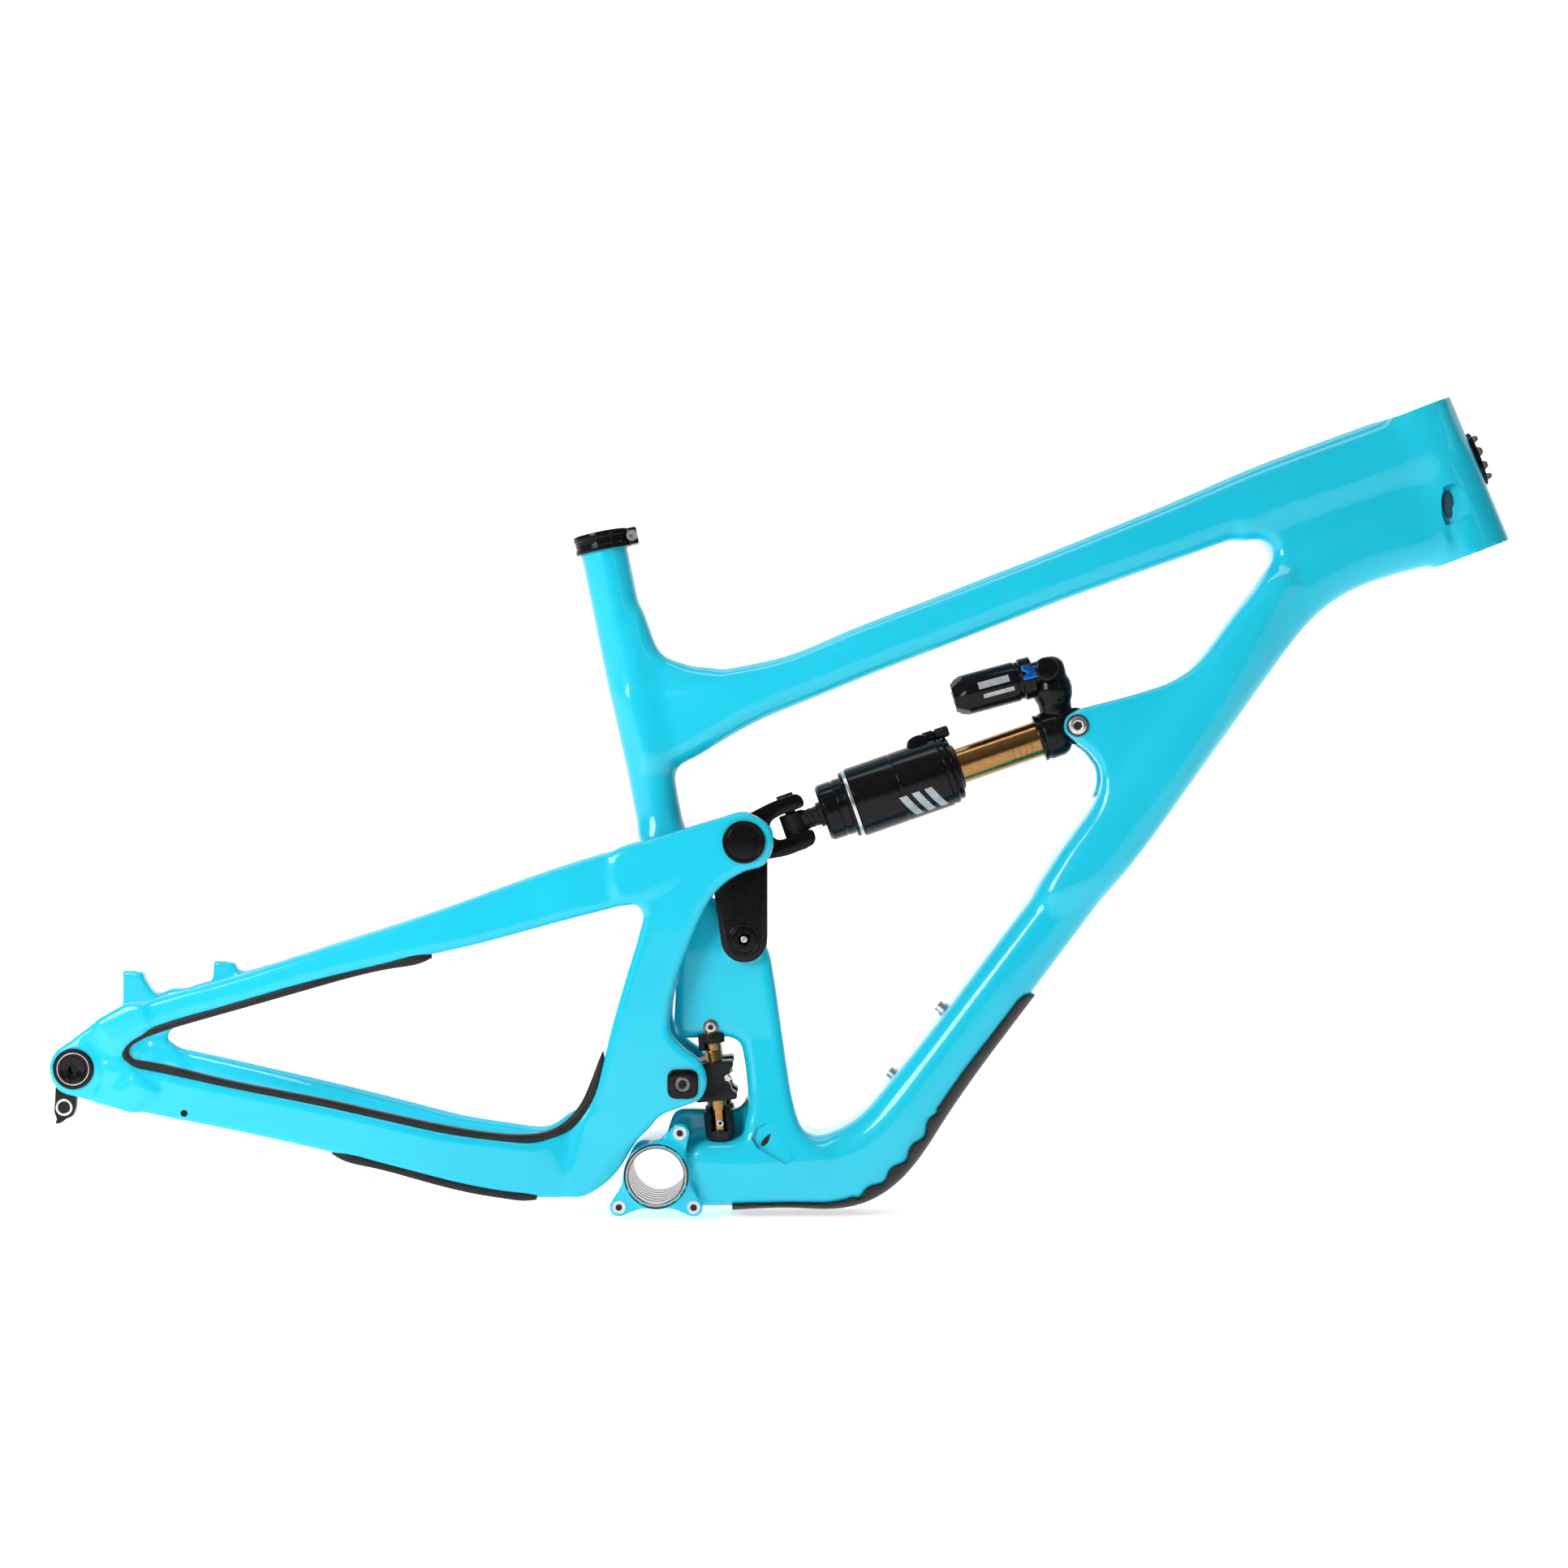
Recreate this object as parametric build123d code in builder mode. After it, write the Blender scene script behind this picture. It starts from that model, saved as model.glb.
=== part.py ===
from build123d import *
import os
from math import cos, radians, sin

# Full-suspension bicycle frame, in millimetres. The origin is the centre of the bottom bracket.
# +X points to the front wheel, +Z up, and +Y to the rider's left, away from the chain.

# Pivots in the centre plane, as (X, Z)
LINK_PIVOT = (65.5, 176.5)
UPPER_PIVOT = (65.5, 249.8)
CARRIAGE_PIVOT = (20.0, 69.5)
SHOCK_PIVOT = (316.6, 337.1)
REAR_AXLE = (-426.0, 84.0)

# Standard interfaces
BRACKET_BORE = 20.5
BRACKET_HALF = 46.0
HUB_HALF = 74.0
AXLE_RADIUS = 6.0
SEAT_BORE = 15.8
HEAD_SEAT_TOP = 20.9
HEAD_SEAT_BOTTOM = 26.0
HEAD_TOP = (579.0, 578.5)
HEAD_BOTTOM = (621.0, 469.0)
HEAD_CUP = 12.0
HEAD_CUP_TOP = 9.0
ISCG_RADIUS = 36.5
ISCG_ANGLES = (61.2, 220.0, 319.8)

# Layers from the centre plane outwards, as half widths
MAST_HALF = 27.5
LINK_INNER = 28.0
LINK_OUTER = 35.5
ARM_INNER = 36.0
ARM_OUTER = 50.0
CAP_OUTER = 53.0
EAR_GAP = 14.5
EAR_OUTER = 26.5

# Radial clearances
RUNNING = 0.03
CARRIAGE_FLOAT = 3.2
YOKE_FLOAT = 4.6

PIVOT_PIN = 6.0
CARRIAGE_PIN = 7.5
SHOCK_PIN = 5.0
RAIL_RADIUS = 5.5
RAIL_HALF = 23.0
GUARD = 4.0

RAIL_FOOT = Vector(47.0, 0, 35.0)
RAIL_LINE = Vector(-7.0, 0, 73.0).normalized()
SHOCK_BACK = Vector(-251.1, 0, -87.3).normalized()
SHOCK_UP = Vector(SHOCK_BACK.Z, 0, -SHOCK_BACK.X)
SHOCK_ORIGIN = Vector(SHOCK_PIVOT[0], 0, SHOCK_PIVOT[1])
YOKE_REACH = 265.8
EYE_REACH = 226.0
HEAD_LINE = Vector(HEAD_TOP[0] - HEAD_BOTTOM[0], 0, HEAD_TOP[1] - HEAD_BOTTOM[1])
HEAD_LENGTH = HEAD_LINE.length
HEAD_AXIS = HEAD_LINE.normalized()
HEAD_FRONT = Vector(HEAD_AXIS.Z, 0, -HEAD_AXIS.X)

os.makedirs("parts", exist_ok=True)


def save(piece, label):
    """Name a finished piece and write it."""
    piece.part.label = label
    export_step(piece.part, f"parts/{label}.step")


def section(x, z, tilt, y=0.0):
    """Plane square to a tube that climbs at the tilt: its own x is world Y."""
    climb = radians(tilt)
    return Plane(origin=(x, y, z), x_dir=(0, 1, 0), z_dir=(cos(climb), 0, sin(climb)))


def layer(half):
    """Side-on plane at a half width on the chain side, facing away from the bicycle."""
    return Plane.XZ.offset(half)


def tube(stations, roundness, cutters=()):
    """Loft through sections given as (x, z, tilt, depth, width) in the centre plane."""
    with BuildPart() as piece:
        for x, z, tilt, depth, width in stations:
            with BuildSketch(section(x, z, tilt)):
                RectangleRounded(width, depth, roundness * min(width, depth))
        loft(ruled=True)
        for cutter in cutters:
            add(cutter.part, mode=Mode.SUBTRACT)
    return piece


def stay(stations, cutters=()):
    """Loft of one chain-side stay through (x, y, z, tilt, height, thickness)."""
    with BuildPart() as piece:
        for x, y, z, tilt, height, thickness in stations:
            with BuildSketch(section(x, z, tilt, -y)):
                RectangleRounded(thickness, height, 0.42 * min(height, thickness))
        loft(ruled=True)
        for cutter in cutters:
            add(cutter.part, mode=Mode.SUBTRACT)
    return piece


def cross_rod(place, radius, inner, outer):
    """Round bar along Y on the chain side, from one half width to another."""
    with BuildPart() as piece:
        with BuildSketch(layer(inner)):
            with Locations(place):
                Circle(radius)
        extrude(amount=outer - inner)
    return piece


def mirrored(piece):
    """The same piece on the other side of the bicycle."""
    with BuildPart() as other:
        mirror(piece.part, about=Plane.XZ)
    return other


def along_shock(distance):
    """Plane square to the shock at a distance from its front bolt, facing backwards."""
    return Plane(origin=SHOCK_ORIGIN + SHOCK_BACK * distance, x_dir=(0, 1, 0), z_dir=SHOCK_BACK)


def along_head(distance):
    """Plane square to the head tube at a distance above its lower end."""
    origin = Vector(HEAD_BOTTOM[0], 0, HEAD_BOTTOM[1]) + HEAD_AXIS * distance
    return Plane(origin=origin, x_dir=(0, 1, 0), z_dir=HEAD_AXIS)


def along_rail(distance):
    """Plane square to the carriage rails at a distance above their foot."""
    return Plane(origin=RAIL_FOOT + RAIL_LINE * distance, x_dir=(0, 1, 0), z_dir=RAIL_LINE)


RESERVOIR_FRONT = Vector(288, 0, 375.5)
RESERVOIR_BACK = Vector(-0.966, 0, -0.259).normalized()


def along_reservoir(distance):
    """Plane square to the reservoir at a distance behind the shock head."""
    origin = RESERVOIR_FRONT + RESERVOIR_BACK * distance
    return Plane(origin=origin, x_dir=(0, 1, 0), z_dir=RESERVOIR_BACK)


def turned(steps, plane_at):
    """Solid of revolution built from (start, end, radius) steps along an axis."""
    with BuildPart() as piece:
        for start, end, radius in steps:
            with BuildSketch(plane_at(start)):
                Circle(radius)
            extrude(amount=end - start)
    return piece


# ---------------------------------------------------------------- front frame: closed forms
bracket_form = cross_rod((0, 0), 25.0, -BRACKET_HALF, BRACKET_HALF)

with BuildPart() as head_form:
    with BuildSketch(along_head(0)):
        Circle(28.4)
    with BuildSketch(along_head(HEAD_LENGTH)):
        Circle(25.0)
    loft(ruled=True)

SEAT_STATIONS = [
    (3, 255, 101.6, 34, 35),
    (-5, 300, 101.6, 35, 35),
    (-21, 370, 101.6, 36, 36),
    (-43.5, 480, 101.6, 35.6, 35.6),
]
seat_form = tube(SEAT_STATIONS, 0.49)

# ---------------------------------------------------------------- bottom bracket
with BuildPart() as bottom_bracket_shell:
    add(bracket_form.part)
    with BuildSketch(layer(-BRACKET_HALF)):
        Circle(22.3)
    extrude(amount=2 * BRACKET_HALF, mode=Mode.SUBTRACT)
save(bottom_bracket_shell, "bottom_bracket_shell")

with BuildPart() as bottom_bracket_sleeve:
    with BuildSketch(layer(-BRACKET_HALF)):
        Circle(22.3)
        Circle(BRACKET_BORE, mode=Mode.SUBTRACT)
    extrude(amount=2 * BRACKET_HALF)
    chamfer(bottom_bracket_sleeve.edges().filter_by(GeomType.CIRCLE).sort_by(SortBy.RADIUS)[:2], 0.5)
save(bottom_bracket_sleeve, "bottom_bracket_sleeve")

ISCG_PLACES = [
    (ISCG_RADIUS * cos(radians(angle)), ISCG_RADIUS * sin(radians(angle))) for angle in ISCG_ANGLES
]
with BuildPart() as iscg_plate:
    with BuildSketch(layer(37.5)):
        Circle(30.0)
        for place in ISCG_PLACES:
            with BuildLine():
                Line((0, 0), place)
            trace(line_width=17)
            with Locations(place):
                Circle(8.5)
        Circle(25.0, mode=Mode.SUBTRACT)
        for place in ISCG_PLACES:
            with Locations(place):
                Circle(5.0, mode=Mode.SUBTRACT)
    extrude(amount=6)
save(iscg_plate, "iscg_plate")

with BuildPart() as iscg_inserts:
    with BuildSketch(layer(37.5)):
        for place in ISCG_PLACES:
            with Locations(place):
                Circle(5.0)
                Circle(2.5, mode=Mode.SUBTRACT)
    extrude(amount=6.5)
save(iscg_inserts, "iscg_inserts")

JUNCTION_STATIONS = [
    (-4, -1, 0, 47, 72),
    (60, -1, 0, 46, 72),
    (105, 1, 6, 48, 72),
    (150, 10, 32, 50, 70),
    (174, 27, 46, 50, 68),
]
JUNCTION_ROUND = 0.3
junction_tube = tube(JUNCTION_STATIONS, JUNCTION_ROUND, [bracket_form, iscg_plate])
WEB_HALF = 10.0
with BuildPart() as bracket_junction:
    add(junction_tube.part)
    with BuildSketch(layer(-WEB_HALF)):
        Polygon((8, 15), (11, 41), (15, 46), (58, 47), (66, 50), (74, 54), (80, 15), align=None)
    extrude(amount=2 * WEB_HALF)
    add(bracket_form.part, mode=Mode.SUBTRACT)
save(bracket_junction, "bottom_bracket_junction")

# ---------------------------------------------------------------- main tubes
DOWN_STATIONS = [
    (174, 27, 46, 50, 68),
    (194, 52.5, 52, 47.5, 66),
    (209.8, 74.5, 53, 44.7, 64),
    (321, 221.2, 53, 42.7, 58),
    (421, 355.2, 53, 44, 55),
    (465.7, 417.7, 53, 44, 52),
    (510, 478, 53, 44, 50),
]
GUSSET_BACK = 470.0
with BuildPart() as down_tube:
    for x, z, tilt, depth, width in DOWN_STATIONS:
        with BuildSketch(section(x, z, tilt)):
            RectangleRounded(width, depth, 0.36 * depth)
    loft(ruled=True)
    split(bisect_by=Plane.YZ.offset(GUSSET_BACK), keep=Keep.BOTTOM)
save(down_tube, "down_tube")

TOP_STATIONS = [
    (-12, 339, 0, 72, 22),
    (8, 344, 2, 74, 34),
    (34, 351.5, 8, 60, 36),
    (70, 362, 14, 46, 38),
    (102, 372, 20, 38.5, 40),
    (200, 411.2, 21.5, 37.7, 43),
    (300, 450, 21.5, 37.7, 44),
    (400, 488, 21.5, 42.8, 45),
    (GUSSET_BACK, 511.5, 0, 53, 46),
]
top_tube = tube(TOP_STATIONS, 0.4, [seat_form])
save(top_tube, "top_tube")

GUSSET_STATIONS = [
    (GUSSET_BACK, 462, 0, 152, 50),
    (500, 485.5, 0, 129, 48),
    (540, 506, 0, 119, 47),
    (580, 519.5, 0, 122, 47),
    (590, 518, 0, 112, 42),
]
with BuildPart() as head_gusset:
    for x, z, tilt, depth, width in GUSSET_STATIONS:
        with BuildSketch(section(x, z, tilt)):
            RectangleRounded(width, depth, 0.36 * width)
    loft(ruled=True)
    add(head_form.part, mode=Mode.SUBTRACT)
    with BuildSketch(along_head(HEAD_LENGTH)):
        Circle(34.0)
    extrude(amount=20, mode=Mode.SUBTRACT)
save(head_gusset, "head_gusset")

with BuildPart() as head_tube:
    add(head_form.part)
    with BuildSketch(along_head(0)):
        Circle(18.5)
    extrude(amount=HEAD_LENGTH, mode=Mode.SUBTRACT)
    with BuildSketch(along_head(0)):
        Circle(27.2)
    extrude(amount=HEAD_CUP, mode=Mode.SUBTRACT)
    with BuildSketch(along_head(HEAD_LENGTH - HEAD_CUP_TOP)):
        Circle(22.4)
    extrude(amount=HEAD_CUP_TOP, mode=Mode.SUBTRACT)
save(head_tube, "head_tube")


def bearing_seat(start, outer, inner, length):
    """Metal ring that holds one headset bearing."""
    with BuildPart() as piece:
        with BuildSketch(along_head(start)):
            Circle(outer)
            Circle(inner, mode=Mode.SUBTRACT)
        extrude(amount=length)
    return piece


save(bearing_seat(0, 27.2, HEAD_SEAT_BOTTOM, HEAD_CUP), "headset_seat_lower")
save(bearing_seat(HEAD_LENGTH - HEAD_CUP_TOP, 22.4, HEAD_SEAT_TOP, HEAD_CUP_TOP), "headset_seat_upper")

BADGE_BACK = Vector(598.5, 0, 527.5) + HEAD_FRONT * 14
with BuildPart() as head_badge:
    with BuildSketch(Plane(origin=BADGE_BACK, x_dir=(0, 1, 0), z_dir=HEAD_FRONT)):
        RectangleRounded(19, 44, 6)
    extrude(amount=16.0)
    add(head_form.part, mode=Mode.SUBTRACT)
    fillet(head_badge.faces().sort_by(Axis((0, 0, 0), tuple(HEAD_FRONT)))[-1].edges(), 1.0)
save(head_badge, "head_badge")

with BuildPart() as seat_tube:
    add(seat_form.part)
    with BuildSketch(section(-43.5, 480, 101.6)):
        Circle(SEAT_BORE)
    extrude(amount=-190, mode=Mode.SUBTRACT)
save(seat_tube, "seat_tube")

# ---------------------------------------------------------------- mast behind the shock
MAST_TOP = 255.0
WINDOW_TOP = 101.0
MAST_STATIONS = [
    (54.5, WINDOW_TOP, 90, 82, 55),
    (51, 144, 90, 75, 55),
    (48, 167, 90, 68, 55),
    (36, 186, 90, 48, 52),
    (22, 206, 90, 37, 47),
    (12, 228, 90, 34, 40),
    (3, MAST_TOP, 90, 34, 35),
]
with BuildPart() as seat_mast:
    add(tube(MAST_STATIONS, 0.3).part)
    with BuildSketch(layer(-MAST_HALF)):
        with Locations(LINK_PIVOT):
            Circle(14.0)
    extrude(amount=2 * MAST_HALF)
    with BuildSketch(layer(-MAST_HALF)):
        with Locations(LINK_PIVOT):
            Circle(PIVOT_PIN)
    extrude(amount=2 * MAST_HALF, mode=Mode.SUBTRACT)
    with BuildSketch(along_rail(50)):
        with Locations((-RAIL_HALF, 0), (RAIL_HALF, 0)):
            Circle(RAIL_RADIUS)
    extrude(amount=28, mode=Mode.SUBTRACT)
    add(seat_form.part, mode=Mode.SUBTRACT)
save(seat_mast, "seat_mast")

FOOT_STATIONS = [
    (80, WINDOW_TOP, 90, 31, 55),
    (82, 81.5, 90, 31, 57),
    (85.5, 55, 90, 33, 62),
    (89, 37, 90, 41, 66),
    (92, 12, 90, 52, 70),
]
mast_foot = tube(FOOT_STATIONS, 0.3, [bracket_junction])
save(mast_foot, "mast_foot")

# ---------------------------------------------------------------- rails and carriage
with BuildPart() as rails:
    with BuildSketch(along_rail(-10)):
        with Locations((-RAIL_HALF, 0), (RAIL_HALF, 0)):
            Circle(RAIL_RADIUS)
    extrude(amount=88)
save(rails, "rails")

with BuildPart() as rail_mounts:
    with BuildSketch(along_rail(-10)):
        RectangleRounded(66, 23, 5)
        with Locations((-RAIL_HALF, 0), (RAIL_HALF, 0)):
            Circle(RAIL_RADIUS, mode=Mode.SUBTRACT)
    extrude(amount=19)
    with BuildSketch(along_rail(61)):
        with Locations((-RAIL_HALF, 0), (RAIL_HALF, 0)):
            Circle(9.0)
            Circle(RAIL_RADIUS, mode=Mode.SUBTRACT)
    extrude(amount=8)
    add(mast_foot.part, mode=Mode.SUBTRACT)
    add(bracket_junction.part, mode=Mode.SUBTRACT)
    add(seat_mast.part, mode=Mode.SUBTRACT)
save(rail_mounts, "rail_mounts")

with BuildPart() as carriage:
    with BuildSketch(along_rail(20)):
        RectangleRounded(64, 28, 8)
    extrude(amount=33)
    with BuildSketch(layer(-20.0)):
        with Locations(CARRIAGE_PIVOT):
            Circle(13.0)
        Polygon((20, 57), (40, 55.5), (40, 83.5), (20, 82), align=None)
    extrude(amount=40)
    with BuildSketch(layer(-34.0)):
        with Locations(CARRIAGE_PIVOT):
            Circle(CARRIAGE_PIN)
    extrude(amount=68, mode=Mode.SUBTRACT)
    with BuildSketch(along_rail(18)):
        with Locations((-RAIL_HALF, 0), (RAIL_HALF, 0)):
            Circle(RAIL_RADIUS + RUNNING)
    extrude(amount=38, mode=Mode.SUBTRACT)
save(carriage, "carriage")

save(cross_rod(CARRIAGE_PIVOT, CARRIAGE_PIN, -44.0, 44.0), "carriage_axle")

GREASE_PLACE = (54.0, 72.0)
with BuildPart() as grease_ports:
    add(cross_rod(GREASE_PLACE, 3.0, 32.0, 34.5).part)
    mirror(about=Plane.XZ)
save(grease_ports, "grease_ports")

# ---------------------------------------------------------------- shock mount on the down tube
with BuildPart() as ear_form:
    with BuildSketch(layer(EAR_GAP)):
        with BuildLine():
            Polyline((300, 222), (317, 254), (331, 274.5), (336, 289), (335, 304), (327, 316), (314, 326))
            ThreePointArc((314, 326), (306.5, 334), (314.5, 346))
            Polyline((314.5, 346), (326, 352), (349, 357.5), (385, 369), (403, 378), (416, 389))
            Polyline((416, 389), (425, 400), (438.5, 418), (456, 440), (466, 400), (330, 215), (300, 222))
        make_face()
    extrude(amount=EAR_OUTER - EAR_GAP)
    with BuildSketch(layer(EAR_GAP)):
        with Locations(SHOCK_PIVOT):
            Circle(SHOCK_PIN)
    extrude(amount=EAR_OUTER - EAR_GAP, mode=Mode.SUBTRACT)
    add(down_tube.part, mode=Mode.SUBTRACT)
save(ear_form, "shock_mount_ear_right")
save(mirrored(ear_form), "shock_mount_ear_left")

with BuildPart() as shock_mount_core:
    with BuildSketch(layer(-EAR_GAP)):
        with BuildLine():
            Polyline((352, 276), (352, 340), (352, 358), (385, 369), (403, 378), (416, 389), (425, 400))
            Polyline((425, 400), (438.5, 418), (456, 440), (466, 400), (352, 260), (352, 276))
        make_face()
    extrude(amount=2 * EAR_GAP)
    add(down_tube.part, mode=Mode.SUBTRACT)
save(shock_mount_core, "shock_mount_core")

with BuildPart() as shock_bolt:
    add(cross_rod(SHOCK_PIVOT, SHOCK_PIN, -EAR_OUTER, EAR_OUTER).part)
    add(cross_rod(SHOCK_PIVOT, 9.0, EAR_OUTER, EAR_OUTER + 4).part)
    add(cross_rod(SHOCK_PIVOT, 9.0, -EAR_OUTER - 3, -EAR_OUTER).part)
    with BuildSketch(layer(EAR_OUTER + 1)):
        with Locations(SHOCK_PIVOT):
            RegularPolygon(3.4, 6)
    extrude(amount=4, mode=Mode.SUBTRACT)
save(shock_bolt, "shock_bolt")

# ---------------------------------------------------------------- small parts on the front frame
SEAT_TOP = section(-43.5, 480, 101.6)
CLAMP_BOLT = Plane(origin=SEAT_TOP.offset(-3).origin + Vector(SEAT_TOP.y_dir) * -23.5, z_dir=(0, 1, 0))
with BuildPart() as seat_clamp:
    with BuildSketch(SEAT_TOP.offset(-10)):
        Circle(21.4)
        with Locations((0, -21)):
            RectangleRounded(17, 13, 3)
        Circle(17.8, mode=Mode.SUBTRACT)
        with Locations((0, -22)):
            Rectangle(2.4, 14, mode=Mode.SUBTRACT)
    extrude(amount=14)
    add(seat_form.part, mode=Mode.SUBTRACT)
    with BuildSketch(CLAMP_BOLT):
        Circle(2.5)
    extrude(amount=12, both=True, mode=Mode.SUBTRACT)
save(seat_clamp, "seat_clamp")

with BuildPart() as seat_clamp_bolt:
    with BuildSketch(CLAMP_BOLT.offset(-8.5)):
        Circle(2.5)
    extrude(amount=17)
    with BuildSketch(CLAMP_BOLT.offset(-11.5)):
        Circle(4.2)
        RegularPolygon(2.3, 6, mode=Mode.SUBTRACT)
    extrude(amount=3)
save(seat_clamp_bolt, "seat_clamp_bolt")

BOTTLE_BOLTS = [(180.5, 70.8), (217.5, 121.0)]
BOTTLE_TILT = radians(53.0)
BOTTLE_OUT = (-sin(BOTTLE_TILT), 0, cos(BOTTLE_TILT))
with BuildPart() as bottle_bolts:
    for x, z in BOTTLE_BOLTS:
        face_out = Plane(origin=(x, 0, z), x_dir=(0, 1, 0), z_dir=BOTTLE_OUT)
        with BuildSketch(face_out.offset(-6)):
            Circle(5.5)
        extrude(amount=8.5)
        with BuildSketch(face_out.offset(2.5)):
            Circle(4.4)
            RegularPolygon(2.3, 6, mode=Mode.SUBTRACT)
        extrude(amount=4)
    add(down_tube.part, mode=Mode.SUBTRACT)
save(bottle_bolts, "bottle_bolts")

with BuildPart() as cable_ports:
    with BuildSketch(layer(18.0)):
        with Locations((584, 507)):
            Ellipse(13.5, 6.5, rotation=75)
    extrude(amount=9)
    with BuildSketch(layer(30.0)):
        with Locations((84, 20)):
            Ellipse(12, 7.5)
    extrude(amount=9)
    add(head_gusset.part, mode=Mode.SUBTRACT)
    add(head_form.part, mode=Mode.SUBTRACT)
    add(bracket_junction.part, mode=Mode.SUBTRACT)
    add(mast_foot.part, mode=Mode.SUBTRACT)
    mirror(about=Plane.XZ)
save(cable_ports, "cable_ports")

GUARD_STATIONS = JUNCTION_STATIONS[1:] + DOWN_STATIONS[1:4]
with BuildPart() as down_tube_guard:
    for x, z, tilt, depth, width in GUARD_STATIONS:
        with BuildSketch(section(x, z, tilt)):
            RectangleRounded(width + 2, depth + 2 * GUARD, 0.3 * (depth + 2 * GUARD))
    loft(ruled=True)
    with BuildSketch(layer(-60.0)):
        with BuildLine():
            Polyline((48, -40), (48, -17), (108, -16), (160, 2), (186, 22), (212, 50), (283, 145))
            Polyline((283, 145), (300, 130), (230, 10), (180, -40), (48, -40))
        make_face()
    extrude(amount=120, mode=Mode.INTERSECT)
    add(bracket_junction.part, mode=Mode.SUBTRACT)
    add(down_tube.part, mode=Mode.SUBTRACT)
save(down_tube_guard, "down_tube_guard")

with BuildPart() as link_axle:
    add(cross_rod(LINK_PIVOT, PIVOT_PIN, -MAST_HALF - 5, MAST_HALF + 5).part)
    add(cross_rod(LINK_PIVOT, 8.0, MAST_HALF + 5, LINK_OUTER).part)
    add(cross_rod(LINK_PIVOT, 8.0, -LINK_OUTER, -MAST_HALF - 5).part)
    with BuildSketch(layer(LINK_OUTER - 2.5)):
        with Locations(LINK_PIVOT):
            RegularPolygon(3.4, 6)
    extrude(amount=3, mode=Mode.SUBTRACT)
save(link_axle, "link_axle")

# ---------------------------------------------------------------- rocker link
BEARING_OUTER = 11.0
with BuildPart() as link_plate:
    with BuildSketch(layer(LINK_INNER)):
        with BuildLine():
            Line(LINK_PIVOT, UPPER_PIVOT)
        trace(line_width=27)
        with Locations(LINK_PIVOT):
            Circle(17.5)
        with Locations(UPPER_PIVOT):
            Circle(17.5)
        with Locations(LINK_PIVOT):
            Circle(BEARING_OUTER, mode=Mode.SUBTRACT)
        with Locations(UPPER_PIVOT):
            Circle(PIVOT_PIN, mode=Mode.SUBTRACT)
    extrude(amount=LINK_OUTER - LINK_INNER)
    chamfer(link_plate.faces().sort_by(Axis.Y)[0].outer_wire().edges(), 1.2)
save(link_plate, "link_plate_right")
save(mirrored(link_plate), "link_plate_left")

with BuildPart() as link_bearings:
    with BuildSketch(layer(LINK_INNER)):
        with Locations(LINK_PIVOT):
            Circle(BEARING_OUTER)
            Circle(PIVOT_PIN + RUNNING, mode=Mode.SUBTRACT)
    extrude(amount=4.4)
    with BuildSketch(layer(LINK_INNER + 4.4)):
        with Locations(LINK_PIVOT):
            Circle(BEARING_OUTER)
            Circle(8.0 + 5 * RUNNING, mode=Mode.SUBTRACT)
    extrude(amount=2.6)
    mirror(about=Plane.XZ)
save(link_bearings, "link_bearings")

save(cross_rod(UPPER_PIVOT, PIVOT_PIN, -49.5, 49.5), "upper_axle")

# ---------------------------------------------------------------- swingarm
ARM_BEARING = 12.0
ARM_POCKET = 14.0
ARM_BACK = -50.0
ARM_SHOULDER = -22.0
with BuildPart() as upright:
    with BuildSketch(layer(ARM_INNER)):
        with BuildLine():
            Polyline((66, 272), (20, 259.6), (ARM_SHOULDER, 245.5), (ARM_SHOULDER, 203), (-12.7, 202.7))
            Line((-12.7, 202.7), (-9, 197))
            Spline((-9, 197), (-18.5, 161.5), (-34, 108), (-43, 68))
            Polyline((-43, 68), (ARM_BACK, 52), (ARM_BACK, -2), (-38, 9.6), (-26, 21), (-20, 27), (-8, 33))
            Polyline((-8, 33), (3, 45), (20, 51.5), (38, 69.5), (30, 88), (14, 104), (9.6, 115))
            Spline((9.6, 115), (16, 150), (33.5, 194), (49, 217), (70, 227.8))
            Line((70, 227.8), (66, 272))
        make_face()
        with Locations(UPPER_PIVOT):
            Circle(22.2)
        with Locations(CARRIAGE_PIVOT):
            Circle(18.0)
    extrude(amount=ARM_OUTER - ARM_INNER)
    with BuildSketch(layer(ARM_INNER)):
        with Locations(UPPER_PIVOT):
            Circle(ARM_BEARING)
    extrude(amount=ARM_OUTER - ARM_INNER, mode=Mode.SUBTRACT)
    with BuildSketch(layer(ARM_INNER)):
        with Locations(CARRIAGE_PIVOT):
            Circle(ARM_POCKET)
    extrude(amount=10, mode=Mode.SUBTRACT)
save(upright, "upright_right")
save(mirrored(upright), "upright_left")

DROPOUT_FRONT = -384.0
SEATSTAY_STATIONS = [
    (ARM_SHOULDER, 43, 224.5, 0, 42.5, 14),
    (-60, 46.5, 214, 16, 40, 14),
    (-95, 50, 203, 16, 38, 14),
    (-134, 54.5, 191, 16, 35, 13.5),
    (-191, 61, 175.5, 16, 27, 13),
    (-250, 67, 159, 16, 22.5, 12.5),
    (-326, 74, 136, 16, 20, 11.5),
    (DROPOUT_FRONT, 79, 119, 0, 26, 10),
]
CHAINSTAY_STATIONS = [
    (ARM_BACK, 43, 24.5, 0, 53, 14),
    (-66, 45, 10.5, 0, 44, 14),
    (-84, 47.5, 7.5, -4, 42, 14),
    (-115, 51, 9, -12, 40, 14),
    (-153, 55.5, 14.5, -14, 37, 14),
    (-191, 60, 26, -14, 35, 14),
    (-249, 66.5, 40, -13, 34, 13.5),
    (-326, 74, 57, -12, 33, 12),
    (DROPOUT_FRONT, 79, 69, 0, 34, 10),
]
seatstay = stay(SEATSTAY_STATIONS)
seatstay_left = mirrored(seatstay)
save(seatstay, "seatstay_right")
save(seatstay_left, "seatstay_left")
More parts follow.
